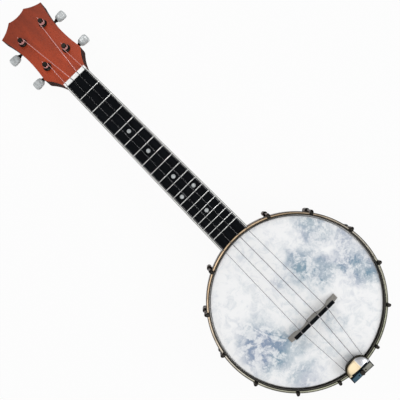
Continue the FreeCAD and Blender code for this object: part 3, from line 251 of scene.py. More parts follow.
# ---------------------------------------------------------------- building with nodes
class Nodes:
    """Adds nodes to a tree and joins them: an input given as a socket is linked, a number is set."""

    def __init__(self, tree):
        self.tree = tree

    def add(self, kind, inputs=None, **attributes):
        node = self.tree.nodes.new(kind)
        for name, value in attributes.items():
            setattr(node, name, value)
        for name, value in (inputs or {}).items():
            self.put(node.inputs[name], value)
        return node

    def put(self, socket, value):
        if isinstance(value, bpy.types.NodeSocket):
            self.tree.links.new(value, socket)
        else:
            socket.default_value = value

    def math(self, operation, first, second=0.0, third=0.0):
        values = {0: first, 1: second, 2: third}
        return self.add("ShaderNodeMath", values, operation=operation).outputs[0]

    def vector(self, operation, *values):
        return self.add("ShaderNodeVectorMath", dict(enumerate(values)), operation=operation).outputs[0]

    def reach(self, vector):
        """Length of a vector."""
        return self.add("ShaderNodeVectorMath", {0: vector}, operation="LENGTH").outputs["Value"]

    def part(self, vector, letter):
        """A vector's X, Y or Z."""
        return self.add("ShaderNodeSeparateXYZ", {"Vector": vector}).outputs[letter]

    def span(self, value, low, high):
        """Where a value lies between two others, as 0 to 1."""
        return self.add("ShaderNodeMapRange", {"Value": value, "From Min": low,
                                               "From Max": high}).outputs["Result"]

    def ramp(self, factor, stops, smooth=False):
        """Colour ramp with (place, colour) stops; grey stops may be plain numbers."""
        node = self.add("ShaderNodeValToRGB", {"Fac": factor})
        ramp = node.color_ramp
        ramp.interpolation = "EASE" if smooth else "LINEAR"
        while len(ramp.elements) < len(stops):
            ramp.elements.new(0.5)
        for element, (place, value) in zip(ramp.elements, stops):
            element.position = place
            shade = (value, value, value) if isinstance(value, (int, float)) else tuple(value)
            element.color = (*shade[:3], 1.0)
        return node.outputs["Color"]

    def mix(self, factor, first, second, blend="MIX"):
        """Mix of two colours."""
        node = self.add("ShaderNodeMix", data_type="RGBA", blend_type=blend)
        self.put(node.inputs[0], factor)
        for socket, value in ((node.inputs[6], first), (node.inputs[7], second)):
            if not isinstance(value, bpy.types.NodeSocket):
                value = (*tuple(value)[:3], 1.0)
            self.put(socket, value)
        return node.outputs[2]

    def noise(self, vector, scale, detail=2.0, rough=0.5, distortion=0.0, output="Fac"):
        return self.add("ShaderNodeTexNoise", {"Vector": vector, "Scale": scale, "Detail": detail,
                                               "Roughness": rough, "Distortion": distortion}).outputs[output]

    def mapped(self, vector, location=(0, 0, 0), rotation=(0, 0, 0), scale=(1, 1, 1)):
        return self.add("ShaderNodeMapping", {"Vector": vector, "Location": location, "Rotation": rotation,
                                              "Scale": scale}).outputs["Vector"]


def shader_group(name, inputs, outputs):
    """Empty shader node group with named sockets: its nodes, what it is given, and its output's sockets."""
    tree = bpy.data.node_groups.new(name, "ShaderNodeTree")
    for label, kind, value in inputs:
        socket = tree.interface.new_socket(label, in_out="INPUT", socket_type=kind)
        if value is not None:
            socket.default_value = value
    for label, kind in outputs:
        tree.interface.new_socket(label, in_out="OUTPUT", socket_type=kind)
    return Nodes(tree), tree.nodes.new("NodeGroupInput").outputs, tree.nodes.new("NodeGroupOutput").inputs


FLOAT = "NodeSocketFloat"
VECTOR = "NodeSocketVector"
COLOUR = "NodeSocketColor"


def wood_grain_group():
    """Long streaks and short dark pores of a sawn board, along X."""
    n, given, out = shader_group(
        "wood_grain", [("Vector", VECTOR, None), ("Streaks", FLOAT, 60.0), ("Pores", FLOAT, 900.0)],
        [("Streak", FLOAT), ("Pore", FLOAT), ("Height", FLOAT)])
    long_way = n.mapped(given["Vector"], scale=(0.09, 1.0, 1.0))
    bend = n.noise(given["Vector"], 9.0, 2.0, output="Color")
    waver = n.add("ShaderNodeVectorMath", {0: bend, "Scale": 0.012}, operation="SCALE").outputs[0]
    streak = n.noise(n.vector("MULTIPLY_ADD", waver, bend, long_way), given["Streaks"], 4.0, 0.62)
    fine = n.noise(n.mapped(given["Vector"], scale=(0.045, 1.0, 1.0)), given["Pores"], 2.0, 0.5)
    pore = n.ramp(fine, [(0.58, 0.0), (0.70, 1.0)])
    n.put(out["Streak"], streak)
    n.put(out["Pore"], pore)
    n.put(out["Height"], n.math("SUBTRACT", n.math("MULTIPLY", streak, 0.3), n.math("MULTIPLY", pore, 0.7)))


def handled_group():
    """Uneven polish of a handled surface: cloudy smudges and hairline scratches."""
    n, given, out = shader_group(
        "handled_surface", [("Vector", VECTOR, None), ("Low", FLOAT, 0.2), ("High", FLOAT, 0.4),
                            ("Scratch", FLOAT, 0.3)],
        [("Roughness", FLOAT), ("Height", FLOAT)])
    smudge = n.noise(given["Vector"], 45.0, 4.0, 0.6)
    lines = n.noise(n.mapped(given["Vector"], rotation=(0.2, 0.4, 0.7), scale=(1.0, 14.0, 1.0)), 240.0, 2.0)
    scratch = n.ramp(lines, [(0.60, 0.0), (0.74, 1.0)])
    span = n.add("ShaderNodeMapRange", {"Value": smudge, "From Min": 0.3, "From Max": 0.7,
                                        "To Min": given["Low"], "To Max": given["High"]}).outputs["Result"]
    roughness = n.math("ADD", span, n.math("MULTIPLY", scratch, n.math("MULTIPLY", given["Scratch"], 0.12)))
    n.put(out["Roughness"], roughness)
    n.put(out["Height"], n.math("MULTIPLY", scratch, given["Scratch"]))


def pearl_group():
    """Cloudy flakes of mother of pearl."""
    n, given, out = shader_group(
        "pearl_figure", [("Vector", VECTOR, None), ("Scale", FLOAT, 160.0), ("Pale", COLOUR, None),
                         ("Deep", COLOUR, None)],
        [("Color", COLOUR), ("Height", FLOAT)])
    swirl = n.noise(given["Vector"], given["Scale"], 3.0, 0.55, 1.6)
    flake = n.add("ShaderNodeTexVoronoi", {"Vector": n.mapped(given["Vector"], scale=(1.0, 1.8, 1.0)),
                                           "Scale": given["Scale"]}, feature="SMOOTH_F1").outputs["Distance"]
    both = n.math("ADD", n.math("MULTIPLY", swirl, 0.7), n.math("MULTIPLY", flake, 0.5))
    spread = n.ramp(both, [(0.38, 0.0), (0.70, 1.0)], smooth=True)
    n.put(out["Color"], n.mix(spread, given["Deep"], given["Pale"]))
    n.put(out["Height"], both)


class Finish(Nodes):
    """A material with one Principled shader, fed by Object coordinates."""

    def __init__(self, name, **shader_values):
        self.material = bpy.data.materials.new(name)
        self.material.use_nodes = True
        super().__init__(self.material.node_tree)
        self.shader = self.tree.nodes["Principled BSDF"]
        for label, value in shader_values.items():
            self.shader.inputs[label.replace("_", " ")].default_value = value
        self.where = self.add("ShaderNodeTexCoord").outputs["Object"]

    def group(self, name, inputs):
        node = self.tree.nodes.new("ShaderNodeGroup")
        node.node_tree = bpy.data.node_groups[name]
        for label, value in inputs.items():
            self.put(node.inputs[label], value)
        return node.outputs

    def wear(self, low, high, scratch=0.3, bump=0.02):
        """Roughness and fine relief of a handled surface."""
        wear = self.group("handled_surface", {"Vector": self.where, "Low": low, "High": high,
                                              "Scratch": scratch})
        self.rough(wear["Roughness"])
        self.bump(wear["Height"], bump)

    def bump(self, height, strength, distance=0.0002):
        node = self.add("ShaderNodeBump", {"Height": height, "Strength": strength, "Distance": distance})
        self.put(self.shader.inputs["Normal"], node.outputs["Normal"])

    def base(self, value):
        self.put(self.shader.inputs["Base Color"], value)

    def rough(self, value):
        self.put(self.shader.inputs["Roughness"], value)


def four(rgb):
    return (*tuple(rgb)[:3], 1.0)


def scaled(rgb, factor):
    return tuple(min(1.0, channel * factor) for channel in tuple(rgb)[:3])


# ---------------------------------------------------------------- finishes
def mahogany():
    """Satin reddish mahogany, darker towards the tip of the head, with painted shade, partly a darker stain, on
    the side faces and the outer edge of the head.
    """
    look = settings().finish
    f = Finish("neck_mahogany", Coat_Roughness=0.2, IOR=1.5, Specular_IOR_Level=0.18)
    wood = f.group("wood_grain", {"Vector": f.where, "Streaks": 95.0, "Pores": 1500.0})
    tone = f.ramp(wood["Streak"], [(0.30, scaled(look.mahogany, 0.78)), (0.55, look.mahogany),
                                   (0.78, scaled(look.mahogany, 1.22))])
    pores = f.mix(f.math("MULTIPLY", wood["Pore"], 0.5), tone, look.mahogany_dark)
    # Painted shade, partly a darker stain, on the side faces and outer edge of the head.
    shade = f.add("ShaderNodeAttribute", attribute_name="edge_stain").outputs["Fac"]
    # Darker towards the tip of the head.
    along = f.span(f.part(f.where, "X"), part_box("neck")[0].x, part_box("nut")[0].x)
    darker_to_tip = f.mix(1.0, pores, f.ramp(along, [(0.05, 0.62), (0.62, 1.0)]), "MULTIPLY")
    # The side faces take the dark colour: painted shade, partly a darker stain.
    f.base(f.mix(shade, darker_to_tip, scaled(look.mahogany_dark, 0.3)))
    smooth = f.ramp(wood["Streak"], [(0.2, 0.40), (0.8, 0.52)])
    f.rough(f.math("ADD", smooth, f.math("MULTIPLY", shade, 0.3)))
    f.put(f.shader.inputs["Coat Weight"], f.math("MULTIPLY_ADD", shade, -0.08, 0.08))
    f.bump(wood["Height"], 0.12)
    return f.material


def level(f):
    """1 where a surface lies level, 0 where it stands upright."""
    return f.math("ABSOLUTE", f.part(f.add("ShaderNodeTexCoord").outputs["Normal"], "Z"))


def steep(f, flat_from=0.55):
    """1 where a surface stands upright, 0 where it lies nearly level."""
    return f.ramp(level(f), [(flat_from, 1.0), (min(0.99, flat_from + 0.35), 0.0)])


def rim_wood():
    """Stained laminated shell: thin plies seen on its edge, long grain round its walls."""
    look = settings().finish
    f = Finish("rim_lacquered_plies", Coat_Weight=0.35, Coat_Roughness=0.2, IOR=1.5)
    axis = pot_axis()
    centred = f.mapped(f.where, location=(-axis.x, -axis.y, 0.0))
    radius = f.reach(f.vector("MULTIPLY", centred, (1.0, 1.0, 0.0)))
    parts = f.add("ShaderNodeSeparateXYZ", {"Vector": centred}).outputs
    round_about = f.math("ARCTAN2", parts["Y"], parts["X"])
    along = f.add("ShaderNodeCombineXYZ", {"X": f.math("MULTIPLY", round_about, 0.09), "Y": radius,
                                           "Z": parts["Z"]}).outputs[0]
    wood = f.group("wood_grain", {"Vector": along, "Streaks": 120.0, "Pores": 1300.0})
    ply = f.math("SINE", f.math("MULTIPLY", radius, 2.0 * math.pi / PLIES))
    ply_line = f.ramp(f.math("MULTIPLY_ADD", ply, 0.5, 0.5), [(0.80, 0.0), (0.97, 1.0)])
    on_edge = f.ramp(level(f), [(0.7, 0.0), (0.95, 1.0)])
    tone = f.ramp(wood["Streak"], [(0.3, scaled(look.rim_wood, 0.7)), (0.75, scaled(look.rim_wood, 1.3))])
    pores = f.mix(f.math("MULTIPLY", wood["Pore"], 0.45), tone, scaled(look.rim_wood, 0.3))
    f.base(f.mix(f.math("MULTIPLY", f.math("MULTIPLY", ply_line, on_edge), 0.6), pores,
                 scaled(look.rim_wood, 0.35)))
    f.rough(f.ramp(wood["Streak"], [(0.2, 0.30), (0.8, 0.44)]))
    f.bump(wood["Height"], 0.08)
    return f.material


def ebony(name, gloss_low, gloss_high):
    """Near-black wood with brown streaks and open pores."""
    look = settings().finish
    f = Finish(name, Specular_IOR_Level=0.03)
    wood = f.group("wood_grain", {"Vector": f.where, "Streaks": 160.0, "Pores": 1700.0})
    tone = f.ramp(wood["Streak"], [(0.35, look.ebony), (0.72, scaled(look.ebony, 1.9)),
                                   (0.86, (0.011, 0.007, 0.006))])
    f.base(f.mix(wood["Pore"], tone, scaled(look.ebony, 0.4)))
    f.rough(f.ramp(wood["Streak"], [(0.2, gloss_low), (0.8, gloss_high)]))
    f.bump(wood["Height"], 0.16)
    return f.material


def maple():
    """Bare maple with fine flecks."""
    look = settings().finish
    f = Finish("bridge_maple", Specular_IOR_Level=0.4)
    wood = f.group("wood_grain", {"Vector": f.mapped(f.where, rotation=(0, 0, math.pi / 2.0)),
                                  "Streaks": 220.0, "Pores": 2200.0})
    tone = f.ramp(wood["Streak"], [(0.25, scaled(look.maple, 0.72)), (0.75, scaled(look.maple, 1.15))])
    f.base(f.mix(f.math("MULTIPLY", wood["Pore"], 0.35), tone, scaled(look.maple, 0.42)))
    f.rough(f.ramp(wood["Streak"], [(0.2, 0.50), (0.8, 0.64)]))
    f.bump(wood["Height"], 0.1)
    return f.material


def drum_film():
    """Pale translucent film with drifting blue-grey clouds and faint fibres."""
    look = settings().finish
    f = Finish("drum_head_film", IOR=1.5, Specular_IOR_Level=0.3)
    axis = pot_axis()
    radius = outer_radius("head_skin")
    unit = f.mapped(f.where, location=(-axis.x / radius, -axis.y / radius, 0.0),
                    scale=(1.0 / radius, 1.0 / radius, 1.0 / radius))
    warp = f.noise(unit, 2.6, 5.0, 0.62, output="Color")
    sway = 0.55
    bent = f.vector("MULTIPLY_ADD", warp, (sway, sway, 0.0), unit)
    drifts = [((0.10, -0.64), 0.36, 1.0), ((0.66, -0.54), 0.24, 0.55), ((-0.26, 0.34), 0.26, 0.85),
              ((-0.04, 0.46), 0.20, 0.7), ((-0.50, 0.76), 0.24, 0.65), ((0.12, 0.74), 0.24, 0.9),
              ((0.30, 0.86), 0.20, 0.8), ((-0.14, 0.90), 0.17, 0.6), ((-0.27, 0.08), 0.13, 0.5),
              ((0.45, 0.17), 0.17, 0.35), ((0.30, -0.34), 0.20, 0.45)]
    mask = None
    for (x, y), reach, weight in drifts:
        gap = f.vector("SUBTRACT", bent, (x + sway / 2.0, y + sway / 2.0, 0.0))
        far = f.reach(f.vector("MULTIPLY", gap, (1.0, 1.0, 0.0)))
        near = f.add("ShaderNodeMapRange", {"Value": far, "From Min": reach * 1.25, "From Max": reach * 0.35,
                                            "To Min": 0.0, "To Max": weight},
                     interpolation_type="SMOOTHSTEP").outputs["Result"]
        mask = near if mask is None else f.math("MAXIMUM", mask, near)
    wisps = f.noise(bent, 5.5, 8.0, 0.68, 0.5)
    crumbs = f.noise(unit, 17.0, 6.0, 0.7, 0.8)
    torn = f.ramp(f.math("ADD", f.math("MULTIPLY", wisps, 0.7), f.math("MULTIPLY", crumbs, 0.3)),
                  [(0.44, 0.0), (0.53, 1.0)])
    cloud = f.math("MULTIPLY", mask, f.math("MULTIPLY_ADD", torn, 0.78, 0.22))
    faint = f.math("MULTIPLY", f.ramp(f.noise(unit, 8.0, 7.0, 0.72, 0.7), [(0.48, 0.0), (0.64, 1.0)]), 0.25)
    amount = f.math("MINIMUM", f.math("ADD", cloud, faint), 1.0)
    hue = f.mix(f.ramp(f.noise(unit, 2.2, 2.0), [(0.4, 0.0), (0.6, 1.0)]), look.film_cloud, (0.20, 0.27, 0.40))
    f.base(f.mix(f.math("MULTIPLY", amount, 0.92), look.film_white, hue))
    f.rough(f.ramp(crumbs, [(0.3, 0.42), (0.7, 0.56)]))
    f.bump(f.noise(unit, 160.0, 3.0, 0.6), 0.05)
    return f.material


def plated(name, rgb, low, high, sides=None):
    """Bright plating with uneven polish and some tarnish; sides is the share of colour kept on upright faces,
    darkened as painted shade.
    """
    f = Finish(name, Metallic=1.0)
    tarnish = f.ramp(f.noise(f.where, 70.0, 5.0, 0.65), [(0.42, scaled(rgb, 0.72)), (0.62, rgb)])
    # Upright faces darkened by the sides share: painted shade.
    f.base(tarnish if sides is None else f.mix(steep(f), tarnish, scaled(rgb, sides)))
    f.wear(low, high)
    return f.material


def off_centre(f, across):
    """How far a place between 0 and 1 lies from the middle, as 0 to 1."""
    return f.math("ABSOLUTE", f.math("MULTIPLY_ADD", across, 2.0, -1.0))


def plating_with_painted_reflection(name, node, part_at, first, second):
    """Plating with a painted reflection that changes tone across a part's width, a thin painted highlight line
    between the two, and painted shade on its brow and upright faces.
    """
    f = Finish(name, Metallic=1.0)
    low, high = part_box(node)
    across = f.span(f.part(f.where, "Y"), low.y, high.y)
    drift = f.math("MULTIPLY_ADD", f.noise(f.where, 60.0, 3.0), 0.03, -0.015)
    # Thin pale line where the two tones meet: painted highlight.
    pale = tuple(min(1.0, channel * 1.3 + 0.1) for channel in tuple(first)[:3])
    # The two tones across the width: painted reflections.
    tone = f.ramp(f.math("ADD", across, drift),
                  [(0.0, scaled(first, 0.82)), (0.12, first), (part_at - 0.02, scaled(first, 1.08)),
                   (part_at, pale), (part_at + 0.02, scaled(second, 0.8)), (0.96, second)])
    forward = f.span(f.part(f.where, "X"), high.x, low.x)
    sideways = off_centre(f, across)
    outward = f.math("ADD", f.math("POWER", forward, 2.5), f.math("POWER", sideways, 2.5))
    # Dark brow, outline and upright faces: painted shade.
    rim = f.math("MAXIMUM", steep(f, 0.60), f.ramp(outward, [(0.80, 0.0), (0.90, 1.0)]))
    f.base(f.mix(rim, tone, scaled(first, 0.05)))
    f.wear(0.24, 0.34)
    return f.material


def block_plating():
    """Bluish at one end and grey at the other, with a painted shadow under the hinge, painted shade on its upright
    faces, and darker at both ends.
    """
    look = settings().finish
    f = Finish("block_blued", Metallic=1.0)
    low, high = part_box("tailpiece_base")
    across = f.span(f.part(f.where, "Y"), low.y, high.y)
    drift = f.math("MULTIPLY_ADD", f.noise(f.where, 140.0, 4.0), 0.08, -0.04)
    # Bluish towards one end and grey towards the other, with a dark stripe between.
    tone = f.ramp(f.math("ADD", across, drift),
                  [(0.0, look.block_blue), (0.47, scaled(look.block_blue, 1.2)), (0.50, 0.01),
                   (0.56, (0.012, 0.010, 0.008)), (0.62, scaled(look.block_grey, 0.7)),
                   (0.96, look.block_grey)])
    # Dark strip under the hinge, behind the cover: painted shadow.
    back = f.math("ADD", f.part(f.where, "X"), f.math("MULTIPLY", drift, 0.02))
    painted_hinge_shadow = f.ramp(f.span(back, middle("tailpiece_pin").x, high.x),
                  [(0.0, 1.0), (0.38, 1.0), (0.50, 0.0), (0.86, 0.0), (0.97, 1.0)])
    ends = f.ramp(off_centre(f, across), [(0.90, 0.0), (0.95, 1.0)])
    # Upright faces take painted shade and the hinge's strip takes painted shadow; both ends are darker.
    dark = f.math("MAXIMUM", f.math("MAXIMUM", steep(f), painted_hinge_shadow), ends)
    f.base(f.mix(dark, tone, scaled(look.block_blue, 0.08)))
    f.wear(0.22, 0.36, 0.4)
    return f.material


def hoop_plating_with_painted_reflection():
    """Plating with a painted highlight on the crown between two painted dark reflection lines, a painted warm
    reflection towards the neck and a cool one towards the tail, and painted shade on its walls.
    """
    look = settings().finish
    f = Finish("hoop_nickel", Metallic=1.0)
    axis = pot_axis()
    centred = f.mapped(f.where, location=(-axis.x, -axis.y, 0.0), scale=(1.0, 1.0, 0.0))
    outer = outer_radius("tension_hoop")
    across = f.span(f.reach(centred), outer - settings().pot.hoop_width, outer)
    # Dark lines either side of the crown: painted reflection of dark surroundings.
    dark = scaled(look.hoop_nickel, 0.07)
    # Bright band on the crown: painted highlight.
    tone = f.ramp(across, [(0.0, dark), (0.26, dark), (0.38, look.hoop_nickel),
                           (0.60, scaled(look.hoop_nickel, 1.25)), (0.74, look.hoop_nickel),
                           (0.84, dark), (1.0, dark)])
    worn = f.ramp(f.noise(f.where, 22.0, 4.0, 0.65), [(0.40, 0.55), (0.60, 1.0)])
    # Warmer towards the neck and cooler towards the tail: painted reflection.
    painted_warm_and_cool_reflection = f.ramp(f.span(f.part(centred, "X"), -outer, outer),
                  [(0.10, (1.0, 0.80, 0.62)), (0.45, 1.0), (0.95, (0.74, 0.82, 0.72))])
    shaded = f.mix(1.0, f.mix(1.0, tone, worn, "MULTIPLY"), painted_warm_and_cool_reflection, "MULTIPLY")
    # Upright walls darkened: painted shade.
    f.base(f.mix(steep(f), shaded, scaled(look.hoop_nickel, 0.25)))
    f.wear(0.14, 0.26)
    return f.material


def binding_with_painted_edge_shade():
    """Pale binding with painted shade as a dark line along its outer edge and its side."""
    look = settings().finish
    neck = settings().neck
    f = Finish("binding_lined", IOR=1.5, Specular_IOR_Level=0.3)
    slope = (neck.half_end - neck.half_nut) / fret_place(neck.frets)
    nut_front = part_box("nut")[1].x
    half = f.math("MULTIPLY_ADD", f.part(f.where, "X"), slope, neck.half_nut - nut_front * slope)
    inset = f.math("DIVIDE", f.math("SUBTRACT", half, f.math("ABSOLUTE", f.part(f.where, "Y"))), neck.binding)
    cloud = f.noise(f.where, 130.0, 4.0, 0.6)
    pale = f.ramp(cloud, [(0.35, scaled(look.cream, 0.88)), (0.65, scaled(look.cream, 1.05))])
    # Dark line along the outer edge: painted shade of the side.
    line = f.ramp(inset, [(0.38, 1.0), (0.44, 0.0)])
    f.base(f.mix(line, pale, (0.020, 0.016, 0.015)))
    f.wear(0.30, 0.45, 0.2)
    return f.material


def moulded(name, rgb, low, high):
    """Cast or cut plastic and bone, with faint clouding."""
    f = Finish(name, IOR=1.5)
    f.base(f.ramp(f.noise(f.where, 130.0, 4.0, 0.6), [(0.35, scaled(rgb, 0.88)), (0.65, scaled(rgb, 1.04))]))
    f.wear(low, high, 0.2)
    return f.material


def pearl(name, scale, pale, deep):
    """Pearl with its cloudy figure under a clear polish."""
    f = Finish(name, Coat_Weight=0.6, Coat_Roughness=0.08, Roughness=0.3, IOR=1.55)
    figure = f.group("pearl_figure", {"Vector": f.where, "Scale": scale, "Pale": four(pale),
                                      "Deep": four(deep)})
    f.base(figure["Color"])
    f.bump(figure["Height"], 0.05)
    return f.material


def nylon():
    """Clear nylon, paler over the board, with a faint glow over the head and over the bridge's cap as a painted
    highlight.
    """
    look = settings().finish
    f = Finish("string_nylon", IOR=1.53, Roughness=0.18, Transmission_Weight=1.0, Specular_IOR_Level=0.12,
               Emission_Strength=1.0)
    clear = f.ramp(f.noise(f.where, 900.0, 2.0), [(0.3, scaled(look.nylon, 0.85)), (0.7, look.nylon)])
    along = f.part(f.where, "X")
    nut_back, board_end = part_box("nut")[0].x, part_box("fretboard")[1].x
    on_board = f.math("COMPARE", along, (nut_back + board_end) / 2.0, (board_end - nut_back) / 2.0)
    f.base(f.mix(on_board, clear, (0.50, 0.50, 0.52)))
    cap = middle("bridge_cap").x
    on_head = f.math("LESS_THAN", along, nut_back)
    on_cap = f.math("COMPARE", along, cap, 3.0 * MM)
    # Glow over the head and over the bridge's cap: painted highlight.
    glow = f.mix(on_head, (0.0, 0.0, 0.0), (0.24, 0.11, 0.10))
    f.put(f.shader.inputs["Emission Color"], f.mix(on_cap, glow, (0.14, 0.13, 0.13)))
    f.bump(f.noise(f.where, 2500.0, 2.0), 0.03)
    return f.material


def make_finishes():
    """Every material of the instrument: the record's slots, and three finishes that pieces ask for by name."""
    look = settings().finish
    wood_grain_group()
    handled_group()
    pearl_group()
    return {
        "rim_wood": rim_wood(),
        "tone_brass": plated("tone_ring_brass", look.brass, 0.22, 0.36),
        "drumhead": drum_film(),
        "hoop_alloy": plated("flesh_hoop_alloy", (0.62, 0.62, 0.62), 0.30, 0.45),
        # Black nickel with painted shade on its upright faces.
        "black_nickel": plated("black_nickel", look.black_nickel, 0.14, 0.26, sides=0.35),
        "neck_wood": mahogany(),
        "board_wood": ebony("fretboard_ebony", 0.42, 0.58),
        "binding": binding_with_painted_edge_shade(),
        "fret_wire": plated("fret_nickel_silver", look.nickel_silver, 0.16, 0.30),
        "pearl_dot": pearl("dot_pearl", 420.0, scaled(look.pearl, 0.85), scaled(look.pearl, 0.5)),
        "bone": moulded("nut_bone", look.bone, 0.28, 0.42),
        "rod_steel": plated("satin_steel", look.steel, 0.26, 0.42),
        "bridge_maple": maple(),
        "ebony": ebony("cap_ebony", 0.28, 0.40),
        "string_nylon": nylon(),
        "gear_brass": plated("gear_brass", look.brass, 0.24, 0.40),
        "pearl_button": pearl("button_pearl", 190.0, scaled(look.pearl, 1.12), scaled(look.pearl, 0.72)),
        "hoop_nickel": hoop_plating_with_painted_reflection(),
        # Pale gold and grey tones of the cover: painted reflections.
        "cover_painted_reflection": plating_with_painted_reflection("cover_pale_gold", "tailpiece_cover", 0.58, look.gold_reflection_on_cover,
                                     look.grey_reflection_on_cover),
        "block_plating": block_plating(),
    }


# ---------------------------------------------------------------- meshes
def settle(mesh, angle=35.0):
    """Smooth shading, kept sharp where faces meet at more than an angle."""
    mesh.polygons.foreach_set("use_smooth", [True] * len(mesh.polygons))
    mesh.set_sharp_from_angle(angle=math.radians(angle))


def placed(name, data):
    """An object in the scene."""
    made = bpy.data.objects.new(name, data)
    bpy.context.scene.collection.objects.link(made)
    return made


def mesh_object(name, bm, angle=35.0):
    bmesh.ops.recalc_face_normals(bm, faces=bm.faces)
    mesh = bpy.data.meshes.new(name)
    bm.to_mesh(mesh)
    bm.free()
    settle(mesh, angle)
    return placed(name, mesh)


def bevelled(bm, edges, width, steps):
    bmesh.ops.bevel(bm, geom=edges, offset=width, segments=steps, profile=0.5, affect="EDGES")


def quarter(steps):
    """Angles of a quarter turn, in equal steps."""
    return [math.pi / 2.0 * step / steps for step in range(steps + 1)]


def plain(piece, angle=35.0):
    """Replace a piece's mesh by its evaluated one and drop its modifiers; no angle keeps its shading."""
    graph = bpy.context.evaluated_depsgraph_get()
    mesh = bpy.data.meshes.new_from_object(piece.evaluated_get(graph))
    piece.modifiers.clear()
    old = piece.data
    piece.data = mesh
    bpy.data.meshes.remove(old)
    mesh.name = piece.name
    if angle is not None:
        settle(mesh, angle)
    return piece


def dress(piece, slot, body, node, finish=None):
    """Give a piece its finish and its body, and hide the frame part it stands for."""
    piece.data.materials.clear()
    piece.data.materials.append(finishes[finish or slot])
    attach(piece, body)
    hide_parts(node)


def rounded(points, radii, steps=5):
    """Closed outline with its corners rounded; a radius of 0 keeps a corner."""
    outline = []
    total = len(points)
    for index, corner in enumerate(points):
        corner = Vector(corner)
        if radii[index] == 0:
            outline.append(corner)
            continue
        before = (Vector(points[index - 1]) - corner).normalized()
        after = (Vector(points[(index + 1) % total]) - corner).normalized()
        half = before.angle(after) / 2.0
        centre = corner + (before + after).normalized() * (radii[index] / math.sin(half))
        start = corner + before * (radii[index] / math.tan(half)) - centre
        end = corner + after * (radii[index] / math.tan(half)) - centre
        swing = start.angle_signed(end)
        for step in range(steps + 1):
            angle = -swing * step / steps
            outline.append(centre + Matrix.Rotation(angle, 2) @ start)
    return outline


def lathe(outline, centre, segments, tilt=None):
    """Solid of revolution about an upright axis from a closed (radius, height) outline."""
    bm = bmesh.new()
    rings = []
    for radius, height in outline:
        if radius < 1e-7:
            rings.append([bm.verts.new((0, 0, height))])
            continue
        ring = []
        for step in range(segments):
            angle = 2.0 * math.pi * step / segments
            ring.append(bm.verts.new((radius * math.cos(angle), radius * math.sin(angle), height)))
        rings.append(ring)
    for index, ring in enumerate(rings):
        after = rings[(index + 1) % len(rings)]
        if len(ring) == 1 and len(after) == 1:
            continue
        for step in range(segments):
            step_on = (step + 1) % segments
            corners = [ring[step % len(ring)], ring[step_on % len(ring)], after[step_on % len(after)],
                       after[step % len(after)]]
            bm.faces.new(list(dict.fromkeys(corners)))
    if tilt:
        bm.transform(tilt)
    bmesh.ops.translate(bm, verts=bm.verts, vec=centre)
    return bm


def swept(stations, sides):
    """Closed bar through stations of (centre, across, up, half width, half height, squareness)."""
    bm = bmesh.new()
    rings = []
    for centre, across, up, wide, high, square in stations:
        ring = []
        for side in range(sides):
            angle = 2.0 * math.pi * side / sides
            c, s = math.cos(angle), math.sin(angle)
            power = 2.0 / square
            x = math.copysign(abs(c) ** power, c) * wide
            y = math.copysign(abs(s) ** power, s) * high
            ring.append(bm.verts.new(Vector(centre) + Vector(across) * x + Vector(up) * y))
        rings.append(ring)
    for ring, after in zip(rings, rings[1:]):
        for side in range(sides):
            side_on = (side + 1) % sides
            bm.faces.new([ring[side], ring[side_on], after[side_on], after[side]])
    bm.faces.new(rings[0])
    bm.faces.new(rings[-1])
    return bm


def joined(*parts):
    """One bmesh from several."""
    whole = parts[0]
    for part in parts[1:]:
        carrier = bpy.data.meshes.new("carrier")
        part.to_mesh(carrier)
        part.free()
        whole.from_mesh(carrier)
        bpy.data.meshes.remove(carrier)
    return whole


def block(low, high, edge=0.0):
    """Box between two corners with its edges rounded."""
    bm = bmesh.new()
    bmesh.ops.create_cube(bm, size=1.0)
    low, high = Vector(low), Vector(high)
    bmesh.ops.scale(bm, vec=high - low, verts=bm.verts)
    bmesh.ops.translate(bm, vec=(low + high) / 2.0, verts=bm.verts)
    if edge:
        bevelled(bm, bm.edges[:], edge, 2)
    return bm


def softened(node, name, width, steps=2, angle=30.0):
    """A copy of a frame part with its sharp edges rounded."""
    bm = bmesh.new()
    bm.from_mesh(frame["nodes"][node].data)
    bmesh.ops.remove_doubles(bm, verts=bm.verts, dist=1e-6)
    bmesh.ops.dissolve_limit(bm, angle_limit=math.radians(0.5), verts=bm.verts, edges=bm.edges)
    piece = mesh_object(name, bm)
    bevel = piece.modifiers.new("edges", "BEVEL")
    bevel.width = width
    bevel.segments = steps
    bevel.limit_method = "ANGLE"
    bevel.angle_limit = math.radians(angle)
    bevel.use_clamp_overlap = True
    even = piece.modifiers.new("even", "WEIGHTED_NORMAL")
    even.weight = 100
    return plain(piece, None)


